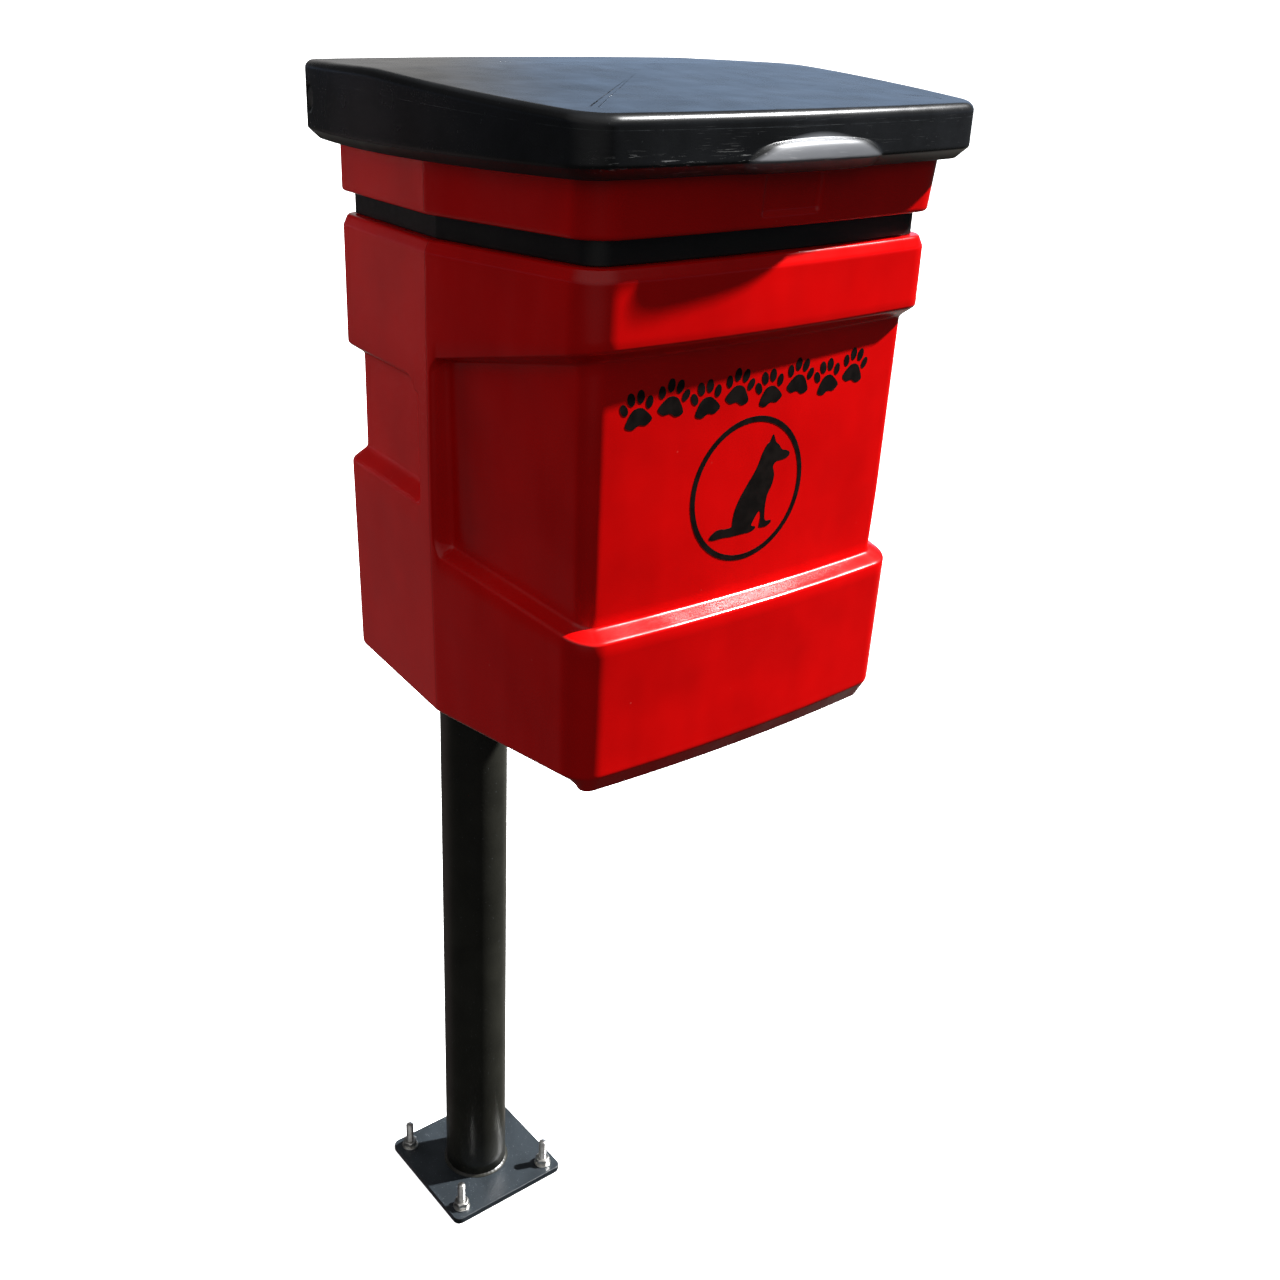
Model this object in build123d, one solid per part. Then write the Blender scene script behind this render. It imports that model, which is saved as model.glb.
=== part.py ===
"""Post-mounted dog waste bin: red moulded body, black hinged lid, lift-out liner, steel post.

Millimetres, +Z up. The origin is on the post's axis at the underside of the base plate,
the bin's front faces -Y and x = 0 is its plane of symmetry.
"""
from build123d import *
import math
import os

# ---- base plate, post and ground anchors ----
PLATE_SIDE = 160.0
PLATE_T = 8.0
PLATE_CORNER_R = 12.0
ANCHOR_EDGE = 17.5              # from an anchor's axis to the plate's edge
ANCHOR_SPACING = PLATE_SIDE - 2 * ANCHOR_EDGE
ANCHOR_R = 5.0                  # plain shank in the ground
ANCHOR_THREAD_R = 4.8           # mean radius of the thread above it
ANCHOR_HOLE_CLEAR = 1.0
ANCHOR_ABOVE = 44.0
ANCHOR_BELOW = 70.0
THREAD_CLEAR = 0.1
WASHER_R = 10.5
WASHER_T = 2.0
ANCHOR_NUT_AF = 17.0
ANCHOR_NUT_H = 8.0
POST_R = 38.05
POST_WALL = 3.0
WELD_LEG = 5.0
CAP_T = 3.0
CAP_DOME = 6.0
CAP_SPIGOT = 18.0
CAP_CLEAR = 0.3

# ---- plan of the red body: front corner, crease and rear corner of one half ----
POST_GAP = 33.95                # between the post and the bin's back
REAR_DEPTH = 173.0              # from the back to the crease
FRONT_DEPTH = 175.0             # from the crease to the front corners
FRONT_HALF, CREASE_HALF, REAR_HALF = 176.0, 202.0, 184.0
REAR_Y = -POST_R - POST_GAP
CREASE_Y = REAR_Y - REAR_DEPTH
FRONT_Y = CREASE_Y - FRONT_DEPTH
FRONT_BOW = 8.0
FRONT_R, CREASE_R, REAR_R = 28.0, 25.0, 20.0
LEAST_R = 4.0
WALL = 5.0

# ---- heights of the body, from the bottom up ----
PLINTH_BOTTOM = 810.0
PLINTH_H = 16.0
TAPER_H = 185.0
UPRIGHT_H = 207.0
SHOULDER_H = 9.0
GROOVE_H = 19.0
COLLAR_H = 68.0
BODY_BOTTOM = PLINTH_BOTTOM + PLINTH_H
TAPER_TOP = BODY_BOTTOM + TAPER_H
SHOULDER_Z = TAPER_TOP + UPRIGHT_H
GROOVE_LOW = SHOULDER_Z + SHOULDER_H
GROOVE_HIGH = GROOVE_LOW + GROOVE_H
RIM_Z = GROOVE_HIGH + COLLAR_H
BOTTOM_INSET = 4.0
PLINTH_INSET = 12.0
PLINTH_FORWARD = 5.0
FLOOR_T = 6.0
SHOULDER_IN = 4.0
GROOVE_IN = 14.0
COLLAR_FLARE = 6.0
COLLAR_FLARE_SIDE = 3.0

# ---- recesses in the body ----
RECESS_TOP_IN, RECESS_LOW_IN = 12.0, 15.0
RECESS_FRONT_TOP = SHOULDER_Z - 52.0
RECESS_FRONT_LOW = BODY_BOTTOM + 122.0
RECESS_END_TOP = RECESS_FRONT_TOP - 29.0
RECESS_END_LOW = RECESS_FRONT_LOW + 24.0
COLUMN_FRONT = 14.0             # the raised column in front of the crease
COLUMN_REAR = 19.0              # and behind it
SIDE_RECESS_TOP = RECESS_END_TOP - 27.0
SIDE_RECESS_LOW = RECESS_END_LOW + 48.0
SIDE_RECESS_IN = 14.0
SIDE_RECESS_REACH = REAR_HALF - 34.0
THUMB_HALF, THUMB_IN = 28.0, 2.5
THUMB_LOW = GROOVE_HIGH + 10.0

# ---- band in the groove ----
BAND_T = 3.0
BAND_CLEAR = 0.3

# ---- lid: overhangs beyond the body's plan, and heights from the body's rim ----
LID_FRONT_HALF, LID_FRONT_Y = FRONT_HALF + 18.0, FRONT_Y - 18.0
LID_WIDE_HALF, LID_WIDE_Y = CREASE_HALF + 24.0, CREASE_Y - 5.0
LID_REAR_HALF, LID_REAR_Y = REAR_HALF + 19.0, REAR_Y + 14.0
LID_BOW = 14.0
LID_FRONT_R, LID_REAR_R = 22.0, 12.0
LID_WALL = 5.0
LID_TOP_FRONT = RIM_Z + 16.0
LID_TOP_REAR = LID_TOP_FRONT + 20.0
LID_FLAT_END = CREASE_Y + 40.0
LID_EDGE_Z = RIM_Z - 18.0
LID_BOTTOM = LID_EDGE_Z - 9.0
LID_LIP_IN, LID_LIP_T = 10.0, 4.0
LID_TOP_R = 6.0
LID_BACK_EDGE = LID_BOTTOM + 11.0
LID_BACK_REACH = 30.0           # how far forward of the rear the lower edge is cut back
CHEEK_CUT_Y, CHEEK_CUT_Z = 9.0, 13.0
LIP_HALF, LIP_OUT, LIP_BODY = 68.0, 8.0, 5.0
LIP_TOP = RIM_Z + 3.0

# ---- lid hinge ----
HINGE_Y, HINGE_Z = REAR_Y - 6.0, RIM_Z + 6.0
PIN_R = 6.0
PIN_FIT = 0.05
PIN_HEAD_R, PIN_HEAD_T = 9.5, 2.0
DIMPLE_R, DIMPLE_DEPTH = 11.0, 3.6
PIN_CAP_T = 1.0
PIN_CAP_CLEAR = 0.2
BUSH_WALL, BUSH_FLANGE_R, BUSH_FLANGE_T = 2.0, 11.0, 1.5
EAR_T = 22.0
EAR_OUT = REAR_HALF - 8.0
EAR_IN = EAR_OUT - EAR_T
EAR_R = 15.0
BOSS_R = 14.0
SIDE_GAP = 0.5
SWING_CLEAR = 2.5               # room round the path of the lid's rear edge
SLOT_CLEAR = 4.0                # room beside the ears in the lid's rear skirt

# ---- rear of the collar, cut away for the lid's rear skirt when the lid is open ----
REAR_RIM_Z = RIM_Z - 28.0
REAR_NOTCH_HALF = EAR_IN - SLOT_CLEAR
REAR_NOTCH_DEPTH = 60.0

# ---- lid buffers ----
BUFFER_R = 9.0
BUFFER_X, BUFFER_Y = FRONT_HALF - 46.0, FRONT_Y - 4.0
BUFFER_GAP = 0.4

# ---- lift-out liner ----
LINER_WALL = 3.0
LINER_INSET = 25.0
LINER_REAR_GAP = 40.0
LINER_FLOOR_Z = BODY_BOTTOM + 9.0
LINER_RIM_T = 4.0
LINER_RIM_CLEAR = 2.5
LINER_LIFT_CLEAR = 0.3

# ---- post brackets ----
BRACKET_Z = (BODY_BOTTOM + 54.0, SHOULDER_Z - 26.0)
BRACKET_HALF, BRACKET_H, BRACKET_T = 100.0, 40.0, 4.0
CLAMP_T = 4.0
CLAMP_H = 34.0
CLAMP_GAP = 2.0
EAR_REACH = 30.0
CLAMP_BOLT_X = POST_R + CLAMP_T + 14.95
BOLT_R, BOLT_HEAD_AF, BOLT_HEAD_H = 4.0, 13.0, 5.5
BOLT_HOLE_CLEAR = 0.5
BOLT_WASHER_R, BOLT_WASHER_T = 8.0, 1.6
BOLT_NUT_H = 6.5
BOLT_TAIL = 4.0
BRACKET_BOLT_X = BRACKET_HALF - 16.0
WEB_T = 4.0
POST_TOP = BRACKET_Z[1] + 70.0


# ---- helpers ----
def moved_corner(before, here, after, inset):
    """A corner of a counter-clockwise outline, moved in so that both its sides shift by inset."""
    arrive = (here - before).normalized()
    leave = (after - here).normalized()
    side_a = Vector(-arrive.Y, arrive.X)
    side_b = Vector(-leave.Y, leave.X)
    return here + (side_a + side_b) * (inset / (1 + side_a.dot(side_b)))


def body_plan(inset=0.0, flare=0.0, flare_side=0.0, rear_y=REAR_Y):
    """The body's six-sided plan with a bowed front, inset all round and flared at the front."""
    front = Vector(FRONT_HALF + flare_side, FRONT_Y - flare)
    crease = Vector(CREASE_HALF, CREASE_Y)
    rear = Vector(REAR_HALF, rear_y)
    right = [front, crease, rear]
    ring = right + [Vector(-p.X, p.Y) for p in reversed(right)]
    n = len(ring)
    moved = [moved_corner(ring[i - 1], ring[i], ring[(i + 1) % n], inset) for i in range(n)]
    crown = Vector(0, moved[0].Y - FRONT_BOW)
    edges = [Line(moved[i], moved[i + 1]) for i in range(n - 1)]
    edges.append(ThreePointArc(moved[-1], crown, moved[0]))
    face = make_face(edges)
    radii = (FRONT_R, CREASE_R, REAR_R)
    for corner, radius in zip(moved[:3], radii):
        near = [v for v in face.vertices() if abs(abs(v.X) - corner.X) + abs(v.Y - corner.Y) < 0.01]
        face = fillet(near, max(radius - inset, LEAST_R))
    return face


def low_plan(inset, flare=0.0):
    """A plan of the tapered bottom: inset at the front and sides while the rear wall stays upright."""
    return body_plan(inset, flare, rear_y=REAR_Y + BOTTOM_INSET)


def slab(face, low, high):
    """A plan face extruded from one height to another."""
    return Pos(0, 0, low) * extrude(face, high - low)


def taper(low_face, low, high_face, high):
    """A straight-sided solid between two plan faces at two heights."""
    return loft([Pos(0, 0, low) * low_face, Pos(0, 0, high) * high_face], ruled=True)


def across(points, half):
    """A closed outline in the YZ plane, extruded to both sides of x = 0."""
    face = make_face(Polyline(*[(0, y, z) for y, z in points], close=True))
    return extrude(face, half, dir=(1, 0, 0), both=True)


def rod(radius, start, end):
    """A round bar between two points."""
    start, end = Vector(*start), Vector(*end)
    axis = end - start
    return Plane(origin=start, z_dir=axis) * extrude(Circle(radius), axis.length)


def hexagon(flats, start, end):
    """A hexagonal bar between two points, flats across as given."""
    start, end = Vector(*start), Vector(*end)
    axis = end - start
    face = RegularPolygon(flats / 2, 6, major_radius=False)
    return Plane(origin=start, z_dir=axis) * extrude(face, axis.length)


def both_sides(solid):
    """A right-hand solid and its mirror image as one group."""
    return Compound(children=[solid, mirror(solid, about=Plane.YZ)])


def block(x, y, z):
    """A box from its three (low, high) ranges."""
    size = [high - low for low, high in (x, y, z)]
    mid = [(high + low) / 2 for low, high in (x, y, z)]
    return Pos(*mid) * Box(*size)


# ---- post and base ----
def anchor_points():
    """The four anchor positions in plan."""
    half = ANCHOR_SPACING / 2
    return [(x, y) for x in (-half, half) for y in (-half, half)]


def base_plate():
    """Square plate with rounded corners and four clearance holes."""
    plate = extrude(RectangleRounded(PLATE_SIDE, PLATE_SIDE, PLATE_CORNER_R), PLATE_T)
    for x, y in anchor_points():
        plate -= rod(ANCHOR_R + ANCHOR_HOLE_CLEAR, (x, y, -1), (x, y, PLATE_T + 1))
    return plate


def post_tube():
    """Round steel tube standing on the plate."""
    outer = rod(POST_R, (0, 0, PLATE_T), (0, 0, POST_TOP))
    return outer - rod(POST_R - POST_WALL, (0, 0, PLATE_T - 1), (0, 0, POST_TOP + 1))


def post_weld():
    """Fillet weld round the foot of the tube."""
    section = make_face(Polyline(
        (POST_R, 0, PLATE_T), (POST_R + WELD_LEG, 0, PLATE_T), (POST_R, 0, PLATE_T + WELD_LEG),
        close=True))
    return revolve(section, Axis.Z)


def post_cap():
    """Domed plastic cap with a spigot inside the tube."""
    disc = rod(POST_R, (0, 0, POST_TOP), (0, 0, POST_TOP + CAP_T))
    radius = (POST_R ** 2 + CAP_DOME ** 2) / (2 * CAP_DOME)
    ball = Pos(0, 0, POST_TOP + CAP_T + CAP_DOME - radius) * Sphere(radius)
    dome = ball & rod(POST_R, (0, 0, POST_TOP + CAP_T), (0, 0, POST_TOP + CAP_T + CAP_DOME))
    spigot_r = POST_R - POST_WALL - CAP_CLEAR
    spigot = rod(spigot_r, (0, 0, POST_TOP - CAP_SPIGOT), (0, 0, POST_TOP))
    hollow = rod(spigot_r - CAP_T, (0, 0, POST_TOP - CAP_SPIGOT - 1), (0, 0, POST_TOP))
    return disc + dome + (spigot - hollow)


def anchor_studs():
    """Four threaded anchors that stand out of the ground through the plate."""
    return Compound(children=[
        rod(ANCHOR_R, (x, y, -ANCHOR_BELOW), (x, y, 0))
        + rod(ANCHOR_THREAD_R, (x, y, 0), (x, y, ANCHOR_ABOVE))
        for x, y in anchor_points()])


def anchor_washers():
    """A flat washer on the plate at each anchor."""
    low, high = PLATE_T, PLATE_T + WASHER_T
    return Compound(children=[
        rod(WASHER_R, (x, y, low), (x, y, high))
        - rod(ANCHOR_THREAD_R + THREAD_CLEAR, (x, y, low - 1), (x, y, high + 1))
        for x, y in anchor_points()])


def anchor_nuts():
    """A hexagon nut on each washer."""
    low = PLATE_T + WASHER_T
    high = low + ANCHOR_NUT_H
    return Compound(children=[
        hexagon(ANCHOR_NUT_AF, (x, y, low), (x, y, high))
        - rod(ANCHOR_THREAD_R + THREAD_CLEAR, (x, y, low - 1), (x, y, high + 1))
        for x, y in anchor_points()])


# ---- red body ----
def body_outside():
    """The outer form: plinth, tapered bottom, upright middle, shoulder, groove and flared collar."""
    plinth = slab(body_plan(PLINTH_INSET, flare=PLINTH_FORWARD), PLINTH_BOTTOM, BODY_BOTTOM)
    bottom = taper(low_plan(BOTTOM_INSET), BODY_BOTTOM, body_plan(), TAPER_TOP)
    middle = slab(body_plan(), TAPER_TOP, SHOULDER_Z)
    shoulder = taper(body_plan(), SHOULDER_Z, body_plan(SHOULDER_IN), GROOVE_LOW)
    neck = slab(body_plan(GROOVE_IN), GROOVE_LOW, GROOVE_HIGH)
    collar = taper(body_plan(), GROOVE_HIGH, body_plan(0, COLLAR_FLARE, COLLAR_FLARE_SIDE), RIM_Z)
    return plinth + bottom + middle + shoulder + neck + collar


def front_recess():
    """What the wide recess takes away: a band round the front that narrows towards the creases."""
    far = FRONT_Y - FRONT_HALF
    end = CREASE_Y - COLUMN_FRONT
    band = across([
        (far, RECESS_FRONT_TOP), (FRONT_Y, RECESS_FRONT_TOP), (end, RECESS_END_TOP),
        (end, RECESS_END_LOW), (FRONT_Y, RECESS_FRONT_LOW), (far, RECESS_FRONT_LOW)],
        CREASE_HALF + WALL)
    floor = taper(body_plan(RECESS_LOW_IN), BODY_BOTTOM, body_plan(RECESS_TOP_IN), SHOULDER_Z)
    return band - floor


def side_recess():
    """The grip recess of the right side, which runs on round the rear corner."""
    grip = block((SIDE_RECESS_REACH, CREASE_HALF + WALL), (CREASE_Y + COLUMN_REAR, REAR_Y + WALL),
                 (SIDE_RECESS_LOW, SIDE_RECESS_TOP))
    return grip - slab(body_plan(SIDE_RECESS_IN), SIDE_RECESS_LOW - 1, SIDE_RECESS_TOP + 1)


def thumb_recess():
    """Shallow panel in the middle of the collar, behind the lid's lift lip."""
    panel = block((-THUMB_HALF, THUMB_HALF), (FRONT_Y - 4 * FRONT_BOW, FRONT_Y), (THUMB_LOW, RIM_Z + 1))
    floor = taper(body_plan(THUMB_IN), GROOVE_HIGH,
                  body_plan(THUMB_IN, COLLAR_FLARE, COLLAR_FLARE_SIDE), RIM_Z + 2)
    return panel - floor


def body_inside():
    """The hollow of the body, one wall inside its outer form at each height."""
    waist_low, waist_high = RECESS_FRONT_LOW - WALL, RECESS_FRONT_TOP + WALL
    sump = slab(body_plan(PLINTH_INSET + WALL, flare=PLINTH_FORWARD),
                PLINTH_BOTTOM + FLOOR_T, BODY_BOTTOM + WALL)
    low = slab(low_plan(BOTTOM_INSET + WALL), BODY_BOTTOM + WALL, waist_low)
    waist = slab(body_plan(RECESS_LOW_IN + WALL), waist_low, waist_high)
    behind = block((-CREASE_HALF, CREASE_HALF), (CREASE_Y - COLUMN_FRONT + WALL, REAR_Y),
                   (waist_low, waist_high))
    grips = block((-CREASE_HALF, CREASE_HALF), (CREASE_Y - COLUMN_FRONT, REAR_Y),
                  (SIDE_RECESS_LOW - WALL, SIDE_RECESS_TOP + WALL))
    waist += (slab(low_plan(BOTTOM_INSET + WALL), waist_low, waist_high) & behind) - grips
    upper = slab(body_plan(WALL), waist_high, SHOULDER_Z - WALL)
    neck = slab(body_plan(GROOVE_IN + WALL), SHOULDER_Z - WALL, GROOVE_HIGH + WALL)
    mouth = taper(body_plan(WALL), GROOVE_HIGH + WALL,
                  body_plan(WALL, COLLAR_FLARE, COLLAR_FLARE_SIDE), RIM_Z + 1)
    return sump + low + waist + upper + neck + mouth


def hinge_ear():
    """The right-hand ear that stands up inside the rear corner and carries the hinge bush."""
    foot = block((EAR_IN, EAR_OUT), (HINGE_Y - EAR_R, REAR_Y - WALL / 2), (GROOVE_HIGH + WALL / 2, HINGE_Z))
    head = rod(EAR_R, (EAR_IN, HINGE_Y, HINGE_Z), (EAR_OUT, HINGE_Y, HINGE_Z))
    top = block((EAR_IN, EAR_OUT), (HINGE_Y - EAR_R, HINGE_Y + EAR_R), (HINGE_Z - EAR_R, HINGE_Z))
    return foot + head + (top & block((EAR_IN, EAR_OUT), (HINGE_Y - EAR_R, REAR_Y), (0, RIM_Z + EAR_R)))


def swing_radius():
    """Distance from the hinge axis to the lid's lower rear edge."""
    return math.hypot(LID_REAR_Y - HINGE_Y, HINGE_Z - LID_BACK_EDGE)


def bolt_spots():
    """Plan x and height of the bolts that hold the brackets to the body."""
    return [(x, z) for z in BRACKET_Z for x in (-BRACKET_BOLT_X, BRACKET_BOLT_X)]


def bin_body():
    """The red moulded shell."""
    body = body_outside() - body_inside()
    body -= front_recess()
    grip = side_recess()
    body -= grip
    body -= mirror(grip, about=Plane.YZ)
    body -= thumb_recess()
    notch = block((-REAR_NOTCH_HALF, REAR_NOTCH_HALF), (REAR_Y - REAR_NOTCH_DEPTH, REAR_Y + WALL),
                  (REAR_RIM_Z, RIM_Z + 1))
    body -= notch
    room = swing_radius() + SWING_CLEAR
    for side in (-1, 1):
        reach = sorted((side * EAR_OUT, side * (CREASE_HALF + WALL)))
        body -= block(reach, (HINGE_Y - room, REAR_Y + WALL), (HINGE_Z - room, RIM_Z + 1))
    ear = hinge_ear()
    body += ear
    body += mirror(ear, about=Plane.YZ)
    bore = PIN_R + PIN_FIT + BUSH_WALL
    body -= rod(bore, (-EAR_OUT - 1, HINGE_Y, HINGE_Z), (EAR_OUT + 1, HINGE_Y, HINGE_Z))
    for x, z in bolt_spots():
        body -= rod(BOLT_R + BOLT_HOLE_CLEAR, (x, REAR_Y + 1, z), (x, REAR_Y - 2 * WALL - 1, z))
    return body


def trim_band():
    """Closed black band lying in the groove."""
    inner = GROOVE_IN - BAND_CLEAR
    low, high = GROOVE_LOW + BAND_CLEAR, GROOVE_HIGH - BAND_CLEAR
    outer = slab(body_plan(inner - BAND_T), low, high)
    return outer - slab(body_plan(inner), low - 1, high + 1)


# ---- lid ----
def lid_plan(inset=0.0):
    """The lid's plan: bowed front, swelling sides and a straight rear, inset all round."""
    rear_l, rear_r = (-LID_REAR_HALF, LID_REAR_Y), (LID_REAR_HALF, LID_REAR_Y)
    front_l, front_r = (-LID_FRONT_HALF, LID_FRONT_Y), (LID_FRONT_HALF, LID_FRONT_Y)
    face = make_face([
        ThreePointArc(front_l, (0, LID_FRONT_Y - LID_BOW), front_r),
        ThreePointArc(front_r, (LID_WIDE_HALF, LID_WIDE_Y), rear_r),
        Line(rear_r, rear_l),
        ThreePointArc(rear_l, (-LID_WIDE_HALF, LID_WIDE_Y), front_l)])
    for y, radius in ((LID_FRONT_Y, LID_FRONT_R), (LID_REAR_Y, LID_REAR_R)):
        face = fillet([v for v in face.vertices() if abs(v.Y - y) < 0.01], radius)
    return offset(face, -inset) if inset else face


def lid_ceiling(drop=0.0):
    """Everything below the lid's top surface, lowered by drop: flat at the rear, falling forward."""
    far = LID_FRONT_Y - 2 * LID_BOW
    slope = (LID_TOP_REAR - LID_TOP_FRONT) / (LID_FLAT_END - LID_FRONT_Y)
    end = LID_TOP_REAR - slope * (LID_FLAT_END - far) - drop
    return across([
        (50, LID_BOTTOM - 50), (50, LID_TOP_REAR - drop), (LID_FLAT_END, LID_TOP_REAR - drop),
        (far, end), (far, LID_BOTTOM - 50)], 2 * LID_WIDE_HALF)


def lift_lip():
    """The flared lip in the middle of the front that the fingers lift."""
    front = LID_FRONT_Y - LID_BOW
    radius = (LID_FRONT_HALF ** 2 + LID_BOW ** 2) / (2 * LID_BOW)
    end_y = front + radius - math.sqrt(radius ** 2 - LIP_HALF ** 2)
    tip = front - LIP_OUT
    inner = end_y + LIP_BODY
    plan = make_face([
        ThreePointArc((-LIP_HALF, end_y), (0, tip), (LIP_HALF, end_y)),
        Polyline((LIP_HALF, end_y), (LIP_HALF, inner), (-LIP_HALF, inner), (-LIP_HALF, end_y))])
    lip = slab(plan, LID_BOTTOM, LIP_TOP)
    wedge = across([
        (inner + 1, LID_BOTTOM - 1), (inner + 1, LIP_TOP + LIP_OUT),
        (front + LIP_BODY / 2, LIP_TOP + LIP_OUT),
        (front, LIP_TOP), (tip, LID_EDGE_Z), (tip + LID_LIP_IN, LID_BOTTOM - 1)], LIP_HALF + 1)
    return lip & wedge


def lid_shell():
    """Black lid: top and deep skirt with a turned-in lower edge, open below and behind."""
    outer = slab(lid_plan(), LID_EDGE_Z, LID_TOP_REAR + 1) & lid_ceiling()
    outer = fillet(outer.edges().filter_by(
        lambda e: e.center().Z > LID_EDGE_Z + 15 and e.bounding_box().size.Z < 22
        and abs(e.center().Y - LID_FLAT_END) > 1), LID_TOP_R)
    outer += taper(lid_plan(LID_LIP_IN), LID_BOTTOM, lid_plan(), LID_EDGE_Z)
    outer += lift_lip()
    hollow = slab(lid_plan(LID_WALL), LID_BOTTOM + LID_LIP_T, LID_TOP_REAR) & lid_ceiling(LID_WALL)
    mouth = slab(lid_plan(LID_LIP_IN + LID_WALL / 2), LID_BOTTOM - 1, LID_BOTTOM + LID_LIP_T + 1)
    lid = outer - hollow - mouth
    inner_half = LID_REAR_HALF - LID_WALL - SWING_CLEAR
    lid -= block((-inner_half, inner_half), (LID_REAR_Y - LID_BACK_REACH, LID_REAR_Y + 1),
                 (LID_BOTTOM - 1, LID_BACK_EDGE))
    lid -= across([
        (LID_REAR_Y - CHEEK_CUT_Y, LID_BOTTOM - 1), (LID_REAR_Y + 1, LID_BOTTOM + CHEEK_CUT_Z),
        (LID_REAR_Y + 1, LID_BOTTOM - 1)], LID_WIDE_HALF)
    face_x = cheek_x()
    for side in (-1, 1):
        slot = sorted((side * (EAR_IN - 2 * SLOT_CLEAR), side * (EAR_OUT + SLOT_CLEAR)))
        lid -= block(slot, (LID_REAR_Y - LID_WALL - SIDE_GAP, LID_REAR_Y + 1),
                     (LID_BOTTOM - 1, HINGE_Z + EAR_R + SWING_CLEAR))
        boss_in = EAR_OUT + BUSH_FLANGE_T + SIDE_GAP
        lid += rod(BOSS_R, (side * boss_in, HINGE_Y, HINGE_Z), (side * (face_x - 1), HINGE_Y, HINGE_Z))
        lid -= rod(PIN_R, (side * (boss_in - 1), HINGE_Y, HINGE_Z), (side * (face_x + 5), HINGE_Y, HINGE_Z))
        lid -= rod(DIMPLE_R, (side * (face_x - DIMPLE_DEPTH), HINGE_Y, HINGE_Z),
                   (side * (face_x + 9), HINGE_Y, HINGE_Z))
    return lid


def cheek_x():
    """Half-width of the lid's outside at the hinge axis."""
    edge = lid_plan().edges().filter_by(
        lambda e: e.bounding_box().min.X > 0 and e.bounding_box().size.Y > 100)[0]
    line = Edge.make_line((0, HINGE_Y, 0), (2 * LID_WIDE_HALF, HINGE_Y, 0))
    return edge.distance_to_with_closest_points(line)[1].X


def hinge_pin():
    """Right-hand pin: head in the lid's dimple, shank through the boss into the ear's bush."""
    seat = cheek_x() - DIMPLE_DEPTH
    shank = rod(PIN_R, (EAR_IN, HINGE_Y, HINGE_Z), (seat, HINGE_Y, HINGE_Z))
    return shank + rod(PIN_HEAD_R, (seat, HINGE_Y, HINGE_Z), (seat + PIN_HEAD_T, HINGE_Y, HINGE_Z))


def hinge_pin_cap():
    """Right-hand plastic cap over the pin's head."""
    seat = cheek_x() - DIMPLE_DEPTH + PIN_HEAD_T
    return rod(DIMPLE_R - PIN_CAP_CLEAR, (seat, HINGE_Y, HINGE_Z), (seat + PIN_CAP_T, HINGE_Y, HINGE_Z))


def hinge_bush():
    """Right-hand flanged bush in the ear."""
    outer = rod(PIN_R + PIN_FIT + BUSH_WALL, (EAR_IN, HINGE_Y, HINGE_Z), (EAR_OUT, HINGE_Y, HINGE_Z))
    flange = rod(BUSH_FLANGE_R, (EAR_OUT, HINGE_Y, HINGE_Z), (EAR_OUT + BUSH_FLANGE_T, HINGE_Y, HINGE_Z))
    bore = rod(PIN_R + PIN_FIT, (EAR_IN - 1, HINGE_Y, HINGE_Z), (EAR_OUT + 9, HINGE_Y, HINGE_Z))
    return outer + flange - bore


def lid_buffer():
    """Right-hand rubber buffer under the lid, over the front rim."""
    post = rod(BUFFER_R, (BUFFER_X, BUFFER_Y, RIM_Z + BUFFER_GAP), (BUFFER_X, BUFFER_Y, LID_TOP_REAR))
    return post & lid_ceiling(LID_WALL)


# ---- liner ----
def inner_liner():
    """Lift-out liner: open box that hangs by its rim on the ledge inside the neck."""
    rear = REAR_Y - LINER_REAR_GAP + LINER_INSET
    ledge = GROOVE_HIGH + WALL + LINER_LIFT_CLEAR
    walls = slab(body_plan(LINER_INSET, rear_y=rear), LINER_FLOOR_Z, ledge)
    rim_rear = rear - LINER_INSET / 2
    rim = slab(body_plan(WALL + LINER_RIM_CLEAR, rear_y=rim_rear), ledge, ledge + LINER_RIM_T)
    hollow = slab(body_plan(LINER_INSET + LINER_WALL, rear_y=rear),
                  LINER_FLOOR_Z + LINER_WALL, ledge + LINER_RIM_T + 1)
    return walls + rim - hollow


# ---- brackets ----
def half_ring(side, z):
    """Half a clamp ring with a bolting ear each side; side -1 faces the bin, +1 the rear."""
    low, high = z - CLAMP_H / 2, z + CLAMP_H / 2
    inner = POST_R
    outer = inner + CLAMP_T
    reach = outer + EAR_REACH
    near, far = sorted((side * CLAMP_GAP, side * (CLAMP_GAP + CLAMP_T)))
    solid = rod(outer, (0, 0, low), (0, 0, high)) + block((-reach, reach), (near, far), (low, high))
    keep = sorted((side * CLAMP_GAP, side * 2 * outer))
    solid = solid & block((-2 * reach, 2 * reach), keep, (low - 1, high + 1))
    solid -= rod(inner, (0, 0, low - 1), (0, 0, high + 1))
    for x in (-CLAMP_BOLT_X, CLAMP_BOLT_X):
        solid -= rod(BOLT_R + BOLT_HOLE_CLEAR, (x, near - 1, z), (x, far + 1, z))
    return solid


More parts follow.
